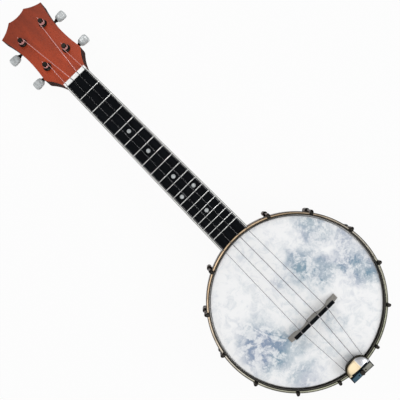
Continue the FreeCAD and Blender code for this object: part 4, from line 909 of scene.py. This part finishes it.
# ---------------------------------------------------------------- repeats in Geometry Nodes
class Repeats(Nodes):
    """A Geometry Nodes tree with named inputs, ending in Realize Instances and Set Material."""

    def __init__(self, name, inputs):
        tree = bpy.data.node_groups.new(name, "GeometryNodeTree")
        super().__init__(tree)
        tree.interface.new_socket("Geometry", in_out="INPUT", socket_type="NodeSocketGeometry")
        for label, kind, value in [("Part", "NodeSocketObject", None),
                                   ("Finish", "NodeSocketMaterial", None)] + inputs:
            socket = tree.interface.new_socket(label, in_out="INPUT", socket_type=kind)
            if value is not None:
                socket.default_value = value
        tree.interface.new_socket("Geometry", in_out="OUTPUT", socket_type="NodeSocketGeometry")
        self.given = tree.nodes.new("NodeGroupInput").outputs
        self.part = self.add("GeometryNodeObjectInfo", {"Object": self.given["Part"]}).outputs["Geometry"]

    def finish(self, points, rotation=None, scale=None):
        """Stand the part on points, realize the copies and set their material."""
        stand = self.add("GeometryNodeInstanceOnPoints", {"Points": points, "Instance": self.part})
        if rotation is not None:
            self.put(stand.inputs["Rotation"], rotation)
        if scale is not None:
            self.put(stand.inputs["Scale"], scale)
        real = self.add("GeometryNodeRealizeInstances", {"Geometry": stand.outputs["Instances"]})
        painted = self.add("GeometryNodeSetMaterial", {"Geometry": real.outputs["Geometry"],
                                                       "Material": self.given["Finish"]})
        out = self.tree.nodes.new("NodeGroupOutput")
        self.tree.links.new(painted.outputs["Geometry"], out.inputs["Geometry"])
        return self.tree


def ring_tree():
    """Copies round the pot, half on each side, between a first and a last direction."""
    t = Repeats("ring_round_the_pot", [("Copies", "NodeSocketInt", 12), ("First", FLOAT, 0.4),
                                       ("Last", FLOAT, 0.3), ("Centre", VECTOR, None)])
    index = t.add("GeometryNodeInputIndex").outputs[0]
    half = t.math("DIVIDE", t.given["Copies"], 2.0)
    side = t.math("GREATER_THAN", index, t.math("SUBTRACT", half, 0.5))
    place = t.math("SUBTRACT", index, t.math("MULTIPLY", side, half))
    span = t.math("SUBTRACT", math.pi, t.math("ADD", t.given["First"], t.given["Last"]))
    step = t.math("DIVIDE", span, t.math("SUBTRACT", half, 1.0))
    angle = t.math("MULTIPLY_ADD", step, place, t.given["First"])
    signed = t.math("MULTIPLY", angle, t.math("MULTIPLY_ADD", side, -2.0, 1.0))
    turned = t.add("ShaderNodeCombineXYZ", {"Z": t.math("ADD", signed, math.pi)}).outputs[0]
    points = t.add("GeometryNodePoints", {"Count": t.given["Copies"],
                                          "Position": t.given["Centre"]}).outputs[0]
    return t.finish(points, rotation=turned)


def fret_tree():
    """Frets at the places of the equal-tempered rule, each as long as the board is wide there."""
    t = Repeats("fret_rule", [("Frets", "NodeSocketInt", 18), ("Scale Length", FLOAT, 0.381),
                              ("Nut", VECTOR, None), ("Half At Nut", FLOAT, 0.016),
                              ("Half At End", FLOAT, 0.02)])
    index = t.add("GeometryNodeInputIndex").outputs[0]
    number = t.math("ADD", index, 1.0)
    left_over = t.math("POWER", 2.0, t.math("DIVIDE", number, -12.0))
    gone = t.math("SUBTRACT", 1.0, left_over)
    last = t.math("SUBTRACT", 1.0, t.math("POWER", 2.0, t.math("DIVIDE", t.given["Frets"], -12.0)))
    growth = t.math("SUBTRACT", t.given["Half At End"], t.given["Half At Nut"])
    half = t.math("ADD", t.given["Half At Nut"], t.math("MULTIPLY", growth, t.math("DIVIDE", gone, last)))
    along = t.add("ShaderNodeCombineXYZ", {"X": t.math("MULTIPLY", gone, t.given["Scale Length"])}).outputs[0]
    position = t.add("ShaderNodeVectorMath", {0: t.given["Nut"], 1: along}, operation="ADD").outputs[0]
    points = t.add("GeometryNodePoints", {"Count": t.given["Frets"], "Position": position}).outputs[0]
    scale = t.add("ShaderNodeCombineXYZ", {"X": 1.0, "Y": half, "Z": 1.0}).outputs[0]
    return t.finish(points, scale=scale)


def places_tree():
    """Copies at the corners of a guide mesh, all turned the same way."""
    t = Repeats("set_at_places", [("Turn", "NodeSocketRotation", None)])
    given = t.given["Geometry"]
    points = t.add("GeometryNodeMeshToPoints", {"Mesh": given, "Radius": 0.001}).outputs[0]
    return t.finish(points, rotation=t.given["Turn"])


def repeated(name, tree, part, finish, values, places=()):
    """Run a tree on a guide mesh, keep the result as a plain mesh and delete the pattern piece."""
    guide = bpy.data.meshes.new(name)
    guide.from_pydata([tuple(place) for place in places], [], [])
    piece = placed(name, guide)
    modifier = piece.modifiers.new("repeat", "NODES")
    modifier.node_group = tree
    inputs = {item.name: item.identifier for item in tree.interface.items_tree
              if item.item_type == "SOCKET" and item.in_out == "INPUT"}
    modifier[inputs["Part"]] = part
    modifier[inputs["Finish"]] = finishes[finish]
    for label, value in values.items():
        modifier[inputs[label]] = value
    piece.update_tag()
    bpy.context.view_layer.update()
    plain(piece)
    bpy.data.objects.remove(part)
    return piece


def ring_values():
    pot = settings().pot
    return {"Copies": pot.hooks, "First": pot.first_hook, "Last": pot.last_hook,
            "Centre": tuple(pot_axis())}


# ---------------------------------------------------------------- pot
def hoop_profile():
    """Outline of the tension hoop: rounded crown with a claw groove, and a rebate for the flesh hoop."""
    pot = settings().pot
    low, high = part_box("tension_hoop")
    outer = outer_radius("tension_hoop")
    inner = outer - pot.hoop_width
    groove_in = pot.groove_circle - pot.groove_width / 2.0
    groove_out = pot.groove_circle + pot.groove_width / 2.0
    floor = high.z - pot.groove_depth
    points = [(pot.hoop_rebate, low.z), (outer, low.z), (outer, high.z), (groove_out, high.z),
              (groove_out, floor), (groove_in, floor), (groove_in, high.z), (inner, high.z),
              (inner, pot.hoop_ledge), (pot.hoop_rebate, pot.hoop_ledge)]
    return rounded(points, [0.4 * MM, 0.6 * MM, 1.1 * MM, 0.25 * MM, 0.3 * MM, 0.3 * MM, 0.35 * MM, 0.9 * MM,
                            0.3 * MM, 0.2 * MM])


def film_profile():
    """Outline of the film: flat across the rim, then round its edge and down into the collar."""
    low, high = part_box("head_skin")
    edge = outer_radius("head_skin")
    crown = outer_radius("rim")
    film = settings().pot.film
    inward = 0.4 * MM
    bend = edge - crown + inward
    skin = [(0.0, high.z - film), (0.0, high.z)]
    skin += [(crown * step / 6.0 - inward, high.z) for step in range(1, 7)]
    skin += [(edge - bend + bend * math.sin(angle), high.z - bend + bend * math.cos(angle))
             for angle in quarter(5)[1:]]
    skin += [(edge, low.z), (edge - film, low.z)]
    skin += [(edge - bend + (bend - film) * math.sin(angle), high.z - bend + (bend - film) * math.cos(angle))
             for angle in reversed(quarter(5))]
    return skin


def dressed_ring(node, name, slot, wide, radii, steps):
    """A round part of the pot as a ring with rounded corners."""
    low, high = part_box(node)
    outer = outer_radius(node)
    section = rounded([(outer - wide, low.z), (outer, low.z), (outer, high.z), (outer - wide, high.z)],
                      radii, steps)
    dress(mesh_object(name, lathe(section, pot_axis(), 144)), slot, BODY, node)


class BANJO_OT_pot(bpy.types.Operator):
    """Rim, tone ring, drum head, flesh hoop and tension hoop"""
    bl_idname = "banjo.pot"
    bl_label = "Pot"

    def execute(self, context):
        axis = pot_axis()
        pot = settings().pot
        hoop = mesh_object("tension_hoop_crowned", lathe(hoop_profile(), axis, 192), 30.0)
        dress(hoop, "black_nickel", BODY, "tension_hoop", finish="hoop_nickel")

        head = mesh_object("drum_head_film", lathe(film_profile(), axis, 192), 50.0)
        dress(head, "drumhead", BODY, "head_skin")
        dressed_ring("flesh_hoop", "flesh_hoop_drawn", "hoop_alloy", pot.flesh_width, [0.5 * MM] * 4, 3)
        dressed_ring("tone_ring", "tone_ring_rolled", "tone_brass", pot.tone_width,
                     [0.3 * MM, 0.3 * MM, 1.2 * MM, 1.6 * MM], 5)
        dress(softened("rim", "rim_rounded", 0.9 * MM, 3), "rim_wood", BODY, "rim")
        return {"FINISHED"}


def hook_pattern():
    """One J-shaped hook standing on the +X side of the pot's axis."""
    pot = settings().pot
    low, top = (corner.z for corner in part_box("bracket_hooks"))
    rod = pot.hook_rod
    half_wide = pot.claw_width / 2.0
    half_thick = pot.claw_thickness / 2.0
    over = top - half_thick
    across = (0.0, 1.0, 0.0)
    outward = Vector((1.0, 0.0, 0.0))
    stations = [((pot.hook_circle, 0, low), across, outward, rod * 0.8, rod * 0.8, 2.0),
                ((pot.hook_circle, 0, low + 0.4 * MM), across, outward, rod, rod, 2.0),
                ((pot.hook_circle, 0, over - 3.4 * MM), across, outward, rod, rod, 2.0)]
    bend = 1.9 * MM
    for step, angle in enumerate(quarter(6)):
        share_done = step / 6.0
        centre = (pot.hook_circle - bend + bend * math.cos(angle), 0, over - bend + bend * math.sin(angle))
        up = Vector((math.cos(angle), 0.0, math.sin(angle)))
        wide = rod + (half_wide - rod) * share_done
        thick = rod + (half_thick - rod) * share_done
        stations.append((centre, across, up, wide, thick, 2.0 + 1.2 * share_done))
    tip = pot.groove_circle
    drop = 1.1 * MM
    for step, angle in enumerate(quarter(4)):
        centre = (tip + drop - drop * math.sin(angle) - 0.1 * MM, 0, over - drop + drop * math.cos(angle))
        up = Vector((-math.sin(angle), 0.0, math.cos(angle)))
        thick = half_thick - (half_thick - 0.8 * MM) * step / 4.0
        stations.append((centre, across, up, half_wide, thick, 3.2))
    groove_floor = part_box("tension_hoop")[1].z - pot.groove_depth
    stations.append(((tip - 0.1 * MM, 0, groove_floor + 0.25 * MM), across, (-1.0, 0.0, 0.0),
                     half_wide * 0.92, 0.62 * MM, 3.0))
    return mesh_object("hook_pattern", swept(stations, 20), 50.0)


def shoe_pattern():
    """One shoe: rounded boss bored for its hook, web, and a flange that follows the rim."""
    pot = settings().pot
    half = pot.boss_height / 2.0
    low = pot.shoe_height - half
    high = pot.shoe_height + half
    bore = pot.hook_rod + BORE_ROOM
    profile = rounded([(bore, low), (pot.boss_radius, low), (pot.boss_radius, high), (bore, high)],
                      [0.2 * MM, 1.3 * MM, 1.3 * MM, 0.2 * MM], 5)
    boss = lathe(profile, (pot.hook_circle, 0, 0), 40)
    rim = outer_radius("rim")
    half_web = pot.web_width / 2.0
    web = block((rim + 1.0 * MM, -half_web, low + 1.0 * MM),
                (pot.hook_circle - 2.0 * MM, half_web, high - 1.0 * MM), 0.8 * MM)
    flange = bmesh.new()
    bmesh.ops.create_grid(flange, x_segments=10, y_segments=14, size=0.5)
    for vert in flange.verts:
        u, v = vert.co.x * 2.0, vert.co.y * 2.0
        wide = pot.flange_width / 2.0 * (1.0 - 0.42 * abs(v) ** 3)
        angle = u * wide / rim
        vert.co = (rim * math.cos(angle) + 0.05 * MM, rim * math.sin(angle),
                   pot.shoe_height + v * pot.flange_height / 2.0)
    bmesh.ops.solidify(flange, geom=flange.faces[:], thickness=-2.3 * MM)
    rims = [edge for edge in flange.edges if len(edge.link_faces) == 2
            and edge.calc_face_angle(0.0) > math.radians(60)]
    bevelled(flange, rims, 0.8 * MM, 3)
    return mesh_object("shoe_pattern", joined(boss, web, flange), 40.0)


def hex_pattern(name, flats, low, high, centre_x, bore, edge):
    """Hexagonal nut with its corners turned down at both ends."""
    bm = bmesh.new()
    sides = 6

    def hexagon(radius, height):
        turns = [math.pi / 3.0 * k for k in range(sides)]
        return [bm.verts.new((centre_x + radius * math.cos(angle), radius * math.sin(angle), height))
                for angle in turns]

    outer, inner = [], []
    for height in (low, high):
        outer.append(hexagon(flats / math.sqrt(3.0), height))
        inner.append(hexagon(bore, height))
    rims = []
    for k in range(sides):
        k_on = (k + 1) % sides
        bm.faces.new([outer[0][k], outer[0][k_on], outer[1][k_on], outer[1][k]])
        bm.faces.new([inner[0][k], inner[1][k], inner[1][k_on], inner[0][k_on]])
        for level in (0, 1):
            bm.faces.new([outer[level][k], outer[level][k_on], inner[level][k_on], inner[level][k]])
            rims.append(bm.edges.get([outer[level][k], outer[level][k_on]]))
        rims.append(bm.edges.get([outer[0][k], outer[1][k]]))
    bevelled(bm, rims, edge, 3)
    return mesh_object(name, bm, 30.0)


def bolt_pattern():
    """One shoe bolt: slotted dome head inside the rim and its shank through the wall."""
    pot = settings().pot
    inner = outer_radius("rim") - pot.rim_wall
    head = 3.8 * MM
    head_height = 2.35 * MM
    seat = math.sqrt(inner ** 2 - head ** 2) - 0.1 * MM
    shank = 2.0 * MM
    tip = head_height + outer_radius("rim") + 4.2 * MM - seat
    half_slot = 0.45 * MM
    dome = [(0.0, 0.0)]
    dome += [(head * math.sin(angle), 2.1 * MM * (1.0 - math.cos(angle))) for angle in quarter(6)[1:]]
    dome += [(head, 2.3 * MM), (shank, head_height), (shank, tip), (0.0, tip)]
    lie_down = Matrix.Rotation(math.pi / 2.0, 4, "Y")
    bm = lathe(dome, (seat - head_height, 0.0, pot.shoe_height), 32, lie_down)
    piece = mesh_object("bolt_pattern", bm, 40.0)
    slot_tool = mesh_object("slot_tool", block((seat - 4.0 * MM, -5.0 * MM, pot.shoe_height - half_slot),
                                               (seat - 1.5 * MM, 5.0 * MM, pot.shoe_height + half_slot)))
    cut = piece.modifiers.new("slot", "BOOLEAN")
    cut.operation = "DIFFERENCE"
    cut.solver = "EXACT"
    cut.object = slot_tool
    plain(piece, 40.0)
    bpy.data.objects.remove(slot_tool)
    return piece


class BANJO_OT_brackets(bpy.types.Operator):
    """Hooks, shoes, hook nuts and shoe bolts round the pot"""
    bl_idname = "banjo.brackets"
    bl_label = "Brackets"

    def execute(self, context):
        pot = settings().pot
        ring = ring_tree()
        low = pot.shoe_height - pot.boss_height / 2.0
        nut = hex_pattern("nut_pattern", pot.nut_flats, low - pot.nut_height, low, pot.hook_circle,
                          pot.hook_rod + BORE_ROOM, 0.5 * MM)
        for name, pattern, node in (("bracket_hooks_forged", hook_pattern(), "bracket_hooks"),
                                    ("bracket_shoes_cast", shoe_pattern(), "bracket_shoes"),
                                    ("hook_nuts_turned", nut, "hook_nuts"),
                                    ("shoe_bolts_slotted", bolt_pattern(), "shoe_bolts")):
            group = repeated(name, ring, pattern, "black_nickel", ring_values())
            dress(group, "black_nickel", BODY, node)
        return {"FINISHED"}


# ---------------------------------------------------------------- neck
def darken_side_faces_of_head(piece):
    """Attribute of painted shade, partly a darker stain, on the side faces and the outer edge of the head of the
    neck.
    """
    mesh = piece.data
    up = face_up()
    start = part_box("nut")[0].x
    side_shade_and_dark_wood_attribute = mesh.attributes.new("edge_stain", "FLOAT", "POINT")
    weights = [0.0] * len(mesh.vertices)
    for face in mesh.polygons:
        if face.center.x > start - 1.0 * MM:
            continue
        # Faces that lean away from the head's front get painted shade, partly a darker stain.
        lean = abs(face.normal.dot(up))
        if lean < 0.9:
            for index in face.vertices:
                weights[index] = max(weights[index], 1.0 - 0.5 * lean)
    side_shade_and_dark_wood_attribute.data.foreach_set("value", weights)


class BANJO_OT_neck(bpy.types.Operator):
    """Neck with its head, and the nut"""
    bl_idname = "banjo.neck"
    bl_label = "Neck"

    def execute(self, context):
        neck = softened("neck", "neck_carved", settings().neck.edge, 3, 40.0)
        darken_side_faces_of_head(neck)
        dress(neck, "neck_wood", BODY, "neck")
        dress(softened("nut", "nut_filed", 0.35 * MM, 2, 40.0), "bone", BODY, "nut")
        return {"FINISHED"}


def fret_pattern():
    """One fret of half length 1 along Y: half-round crown with dressed ends."""
    neck = settings().neck
    ends = [(-1.0, 0.35), (-0.985, 0.75), (-0.955, 1.0), (0.0, 1.0), (0.955, 1.0), (0.985, 0.75), (1.0, 0.35)]
    steps = 10
    bm = bmesh.new()
    rings = []
    for y, swell in ends:
        ring = []
        for step in range(steps + 1):
            angle = math.pi * step / steps
            ring.append(bm.verts.new((-math.cos(angle) * neck.crown_width / 2.0, y,
                                      math.sin(angle) * neck.crown_height * swell)))
        rings.append(ring)
    for ring, after in zip(rings, rings[1:]):
        for step in range(steps):
            bm.faces.new([ring[step], ring[step + 1], after[step + 1], after[step]])
        bm.faces.new([ring[0], after[0], after[-1], ring[-1]])
    bm.faces.new(rings[0])
    bm.faces.new(rings[-1])
    tang = block((-0.25 * MM, -0.92, -2.0 * MM), (0.25 * MM, 0.92, 0.2 * MM))
    return mesh_object("fret_pattern", joined(bm, tang), 45.0)


def fret_place(number):
    return settings().neck.scale * (1.0 - 2.0 ** (-number / 12.0))


def dot_places():
    """Centres of the dots: single ones, then the pair at the octave."""
    neck = settings().neck
    nut_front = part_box("nut")[1].x
    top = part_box("position_dots")[1].z
    spots = [(number, 0.0) for number in (5, 7, 10, 15)] + [(12, neck.double_dot), (12, -neck.double_dot)]
    return [Vector((nut_front + (fret_place(number - 1) + fret_place(number)) / 2.0, y, top))
            for number, y in spots]


class BANJO_OT_fretboard(bpy.types.Operator):
    """Frets and position dots; the board and its binding keep their own shape"""
    bl_idname = "banjo.fretboard"
    bl_label = "Fretboard"

    def execute(self, context):
        neck = settings().neck
        board_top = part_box("fretboard")[1].z
        nut_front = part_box("nut")[1].x
        values = {"Frets": neck.frets, "Scale Length": neck.scale, "Nut": (nut_front, 0.0, board_top),
                  "Half At Nut": neck.half_nut - 0.2 * MM, "Half At End": neck.half_end - 0.2 * MM}
        frets = repeated("frets_crowned", fret_tree(), fret_pattern(), "fret_wire", values)
        dress(frets, "fret_wire", BODY, "frets")
        radius = neck.dot_radius
        outline = rounded([(0.0, -1.5 * MM), (radius, -1.5 * MM), (radius, 0.02 * MM), (0.0, 0.10 * MM)],
                          [0.0, 0.1 * MM, 0.15 * MM, 0.0], 3)
        pattern = mesh_object("dot_pattern", lathe(outline, (0, 0, 0), 40), 40.0)
        dots = repeated("position_dots_inlaid", places_tree(), pattern, "pearl_dot", {}, dot_places())
        dress(dots, "pearl_dot", BODY, "position_dots")
        return {"FINISHED"}


# ---------------------------------------------------------------- tuners
def button_shape(number):
    """Pearl button: rounded keystone, wider outwards, with a soft rim and a shallow dish on both faces."""
    tuner = settings().tuner
    low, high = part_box("tuner_button_%d" % number)
    half_long = (high.y - low.y) / 2.0
    half_high = tuner.button_height / 2.0
    half_thick = tuner.button_thickness / 2.0
    outward = 1.0 if low.y > 0 else -1.0
    squareness = 2.0 / 3.6
    bm = bmesh.new()
    bmesh.ops.create_uvsphere(bm, u_segments=48, v_segments=24, radius=1.0)
    for vert in bm.verts:
        x, y, z = vert.co
        reach = math.hypot(x, y)
        px = py = wide = 0.0
        if reach > 1e-6:
            c, s = x / reach, y / reach
            wide = reach ** 0.72
            px = math.copysign(abs(c) ** squareness, c) * wide
            py = math.copysign(abs(s) ** squareness, s) * wide
        dish = 0.86 + 0.14 * min(1.0, wide / 0.7) ** 2
        pz = math.copysign(abs(z) ** 0.55, z) * dish
        flare = 0.90 + 0.10 * outward * py
        vert.co = (px * half_high * flare, py * half_long, pz * half_thick)
    bm.transform(Matrix.Rotation(-face_tilt(), 4, "Y"))
    bmesh.ops.translate(bm, verts=bm.verts, vec=(low + high) / 2.0)
    return mesh_object("tuner_button_pearl_%d" % number, bm, 60.0)


class BANJO_OT_tuners(bpy.types.Operator):
    """Pearl buttons and rounded bushings; the geared works keep their own shape"""
    bl_idname = "banjo.tuners"
    bl_label = "Tuners"

    def execute(self, context):
        tuner = settings().tuner
        for number in STRINGS:
            node = "tuner_button_%d" % number
            dress(button_shape(number), "pearl_button", "tuner_knob_%d" % number, node)
        bore = tuner.post_radius + BORE_ROOM
        outline = rounded([(bore, -tuner.sleeve_length), (tuner.sleeve_radius, -tuner.sleeve_length),
                           (tuner.sleeve_radius, 0.0), (tuner.flange_radius, 0.0),
                           (tuner.flange_radius - 0.3 * MM, tuner.flange_height * 0.6),
                           (bore + 0.7 * MM, tuner.flange_height + 0.3 * MM), (bore, tuner.flange_height)],
                          [0.0, 0.3 * MM, 0.0, 0.25 * MM, 0.4 * MM, 0.3 * MM, 0.1 * MM], 4)
        pattern = mesh_object("bushing_pattern", lathe(outline, (0, 0, 0), 48), 35.0)
        places = [joint_named("string_post_turn_%d" % number)["pos_m"] for number in STRINGS]
        bushings = repeated("tuner_bushings_pressed", places_tree(), pattern, "black_nickel",
                            {"Turn": Euler((0.0, -face_tilt(), 0.0))}, places)
        dress(bushings, "black_nickel", BODY, "tuner_bushings")
        return {"FINISHED"}


# ---------------------------------------------------------------- bridge and tailpiece
class BANJO_OT_bridge(bpy.types.Operator):
    """Bridge: maple base and ebony cap with softened edges"""
    bl_idname = "banjo.bridge"
    bl_label = "Bridge"

    def execute(self, context):
        dress(softened("bridge_base", "bridge_base_sanded", 0.35 * MM), "bridge_maple", "bridge", "bridge_base")
        cap = softened("bridge_cap", "bridge_cap_polished", 0.12 * MM)
        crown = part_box("bridge_cap")[1].z
        for vertex in cap.data.vertices:
            if vertex.co.z > crown - settings().bridge.slots:
                vertex.co.z -= settings().bridge.room
        dress(cap, "ebony", "bridge", "bridge_cap")
        return {"FINISHED"}


def hinge_turn():
    """Placement at the tailpiece's hinge: X towards the tail, Y along the hinge."""
    hinge = joint_named("tailpiece_cover_hinge")
    axis = Vector(hinge["axis"])
    return Matrix.Translation(Vector(hinge["pos_m"])) @ Matrix.Rotation(math.atan2(-axis.x, axis.y), 4, "Z")


def cover_shell():
    """Domed shell, rounded in front and open behind, swept as one section from side to side."""
    size = settings().tail
    hinge_z = joint_named("tailpiece_cover_hinge")["pos_m"][2]
    foot, crown = (corner.z - hinge_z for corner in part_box("tailpiece_cover"))
    base = max(foot, size.wall_base)
    power = 2.0 / 2.5
    steps = 40
    bm = bmesh.new()

    def dome(x, y, sink):
        ball = size.dome - sink
        return crown - size.dome + math.sqrt(ball ** 2 - x ** 2 - y ** 2)

    def point(angle, reach, inset, height, sink):
        """Vertex at a share of the way out to the outline, at a height or on the dome."""
        c = math.cos(angle)
        x = -(size.depth - inset) * reach * math.sin(angle) ** power
        y = (size.half_width - inset) * reach * math.copysign(abs(c) ** power, c)
        z = dome(x, y, sink) if height is None else height
        return bm.verts.new((x - size.back, y, z))

    top = bm.verts.new((-size.back, 0.0, crown))
    under = bm.verts.new((-size.back, 0.0, crown - size.skin))
    soft = size.edge
    sections = []
    for step in range(steps + 1):
        angle = math.pi * step / steps
        brow = dome(size.depth * math.sin(angle) ** power, size.half_width * abs(math.cos(angle)) ** power, 0.0)
        section = [top] + [point(angle, reach, soft, None, 0.0) for reach in (0.2, 0.4, 0.6, 0.8, 1.0)]
        for bend in (22.5, 45.0, 67.5, 90.0):
            lean = math.radians(bend)
            section.append(point(angle, 1.0, soft * (1.0 - math.sin(lean)),
                                 brow - soft * (1.0 - math.cos(lean)), 0.0))
        section += [point(angle, 1.0, 0.0, base + 0.25 * MM, 0.0), point(angle, 1.0, 0.25 * MM, base, 0.0),
                    point(angle, 1.0, size.skin - 0.2 * MM, base, 0.0),
                    point(angle, 1.0, size.skin, base + 0.2 * MM, 0.0)]
        section += [point(angle, reach, size.skin + 0.5 * MM, None, size.skin) for reach in (1.0, 0.7, 0.35)]
        section.append(under)
        sections.append(section)
    for first, second in zip(sections, sections[1:]):
        for place in range(len(first) - 1):
            corners = [first[place], first[place + 1], second[place + 1], second[place]]
            bm.faces.new(list(dict.fromkeys(corners)))
    bm.faces.new(sections[0])
    bm.faces.new(sections[-1])
    for side in (1, -1):
        near = size.barrel_half + 0.3 * MM
        far = size.half_width - 0.4 * MM
        low, high = sorted((side * near, side * far))
        outline = rounded([(size.pin, 0.0), (size.barrel, 0.0), (size.barrel, high - low),
                           (size.pin, high - low)], [0.0, 0.3 * MM, 0.3 * MM, 0.0], 4)
        lie = Matrix.Translation((0.0, low, 0.0)) @ Matrix.Rotation(-math.pi / 2.0, 4, "X")
        knuckle = lathe(outline, (0, 0, 0), 40, lie)
        web = block((-size.back - 1.0 * MM, low + 0.1 * MM, 0.4 * MM),
                    (-0.6 * MM, high - 0.1 * MM, size.barrel - 0.1 * MM), 0.2 * MM)
        bm = joined(bm, knuckle, web)
    bm.transform(hinge_turn())
    return bm


class BANJO_OT_tailpiece(bpy.types.Operator):
    """Tailpiece: domed cover and the block that carries it"""
    bl_idname = "banjo.tailpiece"
    bl_label = "Tailpiece"

    def execute(self, context):
        cover = mesh_object("tailpiece_cover_domed", cover_shell(), 40.0)
        dress(cover, "black_nickel", "tailpiece_lid", "tailpiece_cover", finish="cover_painted_reflection")
        base = softened("tailpiece_base", "tailpiece_base_milled", 0.25 * MM)
        dress(base, "black_nickel", BODY, "tailpiece_base", finish="block_plating")
        return {"FINISHED"}


class BANJO_OT_finishes(bpy.types.Operator):
    """Finishes for every frame part that keeps its own shape"""
    bl_idname = "banjo.finishes"
    bl_label = "Finishes"

    def execute(self, context):
        for row in frame["record"]["subparts"]:
            node = frame["nodes"][row["node"]]
            for slot in node.material_slots:
                slot.material = finishes[row["material_slot"]]
        return {"FINISHED"}


# ---------------------------------------------------------------- stage
class BANJO_OT_stage(bpy.types.Operator):
    """Pale floor, soft lights and a camera square above the instrument"""
    bl_idname = "banjo.stage"
    bl_label = "Stage"

    def execute(self, context):
        stage = settings().stage
        scene = context.scene
        scene.view_settings.view_transform = "Standard"
        bm = bmesh.new()
        bmesh.ops.create_grid(bm, x_segments=1, y_segments=1, size=4.0)
        bmesh.ops.translate(bm, verts=bm.verts, vec=(0.0, 0.0, -0.0005))
        floor = mesh_object("studio_floor", bm)
        floor.data.materials.append(floor_finish())
        world = bpy.data.worlds.new("studio_surroundings")
        world.use_nodes = True
        n = Nodes(world.node_tree)
        back = world.node_tree.nodes["Background"]
        seen = n.add("ShaderNodeLightPath").outputs["Is Camera Ray"]
        n.put(back.inputs["Strength"], n.math("MULTIPLY_ADD", seen, 1.0 - stage.world, stage.world))
        back.inputs["Color"].default_value = (1.0, 1.0, 1.0, 1.0)
        scene.world = world
        self.lamp("key_softbox", (0.95, 0.70, 0.95), (0.12, 0.0, 0.0), (0.6, 0.6), stage.key_power)
        self.lamp("fill_softbox", (-1.15, 0.35, 1.00), (-0.10, 0.0, 0.0), (0.5, 0.5), stage.fill_power)
        self.lamp("overhead_panel", (0.25, -0.55, 1.80), (0.25, -0.55, 0.0), (1.9, 1.6), stage.panel_power)
        camera_over_instrument()
        return {"FINISHED"}

    def lamp(self, name, place, target, size, power):
        data = bpy.data.lights.new(name, "AREA")
        data.shape = "RECTANGLE"
        data.size, data.size_y = size
        data.energy = power
        lamp = placed(name, data)
        lamp.location = place
        lamp.rotation_euler = (Vector(target) - Vector(place)).to_track_quat("-Z", "Y").to_euler()
        lamp.visible_camera = False


def floor_finish():
    """Pale floor that stays near white to the camera and keeps the instrument's shadow."""
    stage = settings().stage
    f = Finish("studio_floor", Roughness=0.9, Specular_IOR_Level=0.1)
    grain = f.noise(f.where, 30.0, 2.0)
    f.base(f.mix(grain, scaled(stage.floor, 0.99), stage.floor))
    rays = f.add("ShaderNodeLightPath").outputs
    seen = f.math("MAXIMUM", rays["Is Camera Ray"], rays["Is Transmission Ray"])
    glow = f.add("ShaderNodeEmission", {"Color": (1.0, 1.0, 1.0, 1.0), "Strength": 0.985})
    both = f.add("ShaderNodeMixShader", {"Fac": f.math("MULTIPLY", seen, 0.96)})
    f.tree.links.new(f.shader.outputs["BSDF"], both.inputs[1])
    f.tree.links.new(glow.outputs["Emission"], both.inputs[2])
    f.tree.links.new(both.outputs["Shader"], f.tree.nodes["Material Output"].inputs["Surface"])
    return f.material


def camera_over_instrument():
    """Camera square above, the neck running from upper left to lower right."""
    data = bpy.data.cameras.new("product_camera")
    data.sensor_width = 36.0
    data.lens = data.sensor_width * CAMERA_DISTANCE / FRAME_WIDTH
    camera = placed("product_camera", data)
    ahead_of_nut, aside = 0.2022, 0.00285
    camera.location = (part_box("nut")[1].x + ahead_of_nut, aside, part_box("fretboard")[1].z + CAMERA_DISTANCE)
    camera.rotation_euler = (0.0, 0.0, math.radians(45.5))
    bpy.context.scene.camera = camera


# ---------------------------------------------------------------- panel and registration
class BANJO_PT_pieces(bpy.types.Panel):
    """Buttons for each group of pieces"""
    bl_idname = "BANJO_PT_pieces"
    bl_label = "Banjo ukulele"
    bl_space_type = "VIEW_3D"
    bl_region_type = "UI"
    bl_category = "Banjo"

    def draw(self, context):
        for operator in OPERATORS:
            self.layout.operator(operator.bl_idname)


OPERATORS = (BANJO_OT_finishes, BANJO_OT_pot, BANJO_OT_brackets, BANJO_OT_neck, BANJO_OT_fretboard,
             BANJO_OT_tuners, BANJO_OT_bridge, BANJO_OT_tailpiece, BANJO_OT_stage)
CLASSES = (PotSizes, NeckSizes, TunerSizes, BridgeSizes, TailSizes, Finishes, StageSettings, BanjoSettings,
           *OPERATORS, BANJO_PT_pieces)
finishes = {}


def register():
    for entry in CLASSES:
        bpy.utils.register_class(entry)
    bpy.types.Scene.banjo = pointer(BanjoSettings, "Banjo", "Settings of the banjo ukulele")


def unregister():
    del bpy.types.Scene.banjo
    for entry in reversed(CLASSES):
        bpy.utils.unregister_class(entry)


def main():
    register()
    finishes.update(make_finishes())
    bpy.ops.banjo.finishes()
    bpy.ops.banjo.pot()
    bpy.ops.banjo.brackets()
    bpy.ops.banjo.neck()
    bpy.ops.banjo.fretboard()
    bpy.ops.banjo.tuners()
    bpy.ops.banjo.bridge()
    bpy.ops.banjo.tailpiece()
    bpy.ops.banjo.stage()


if __name__ == "__main__":
    main()
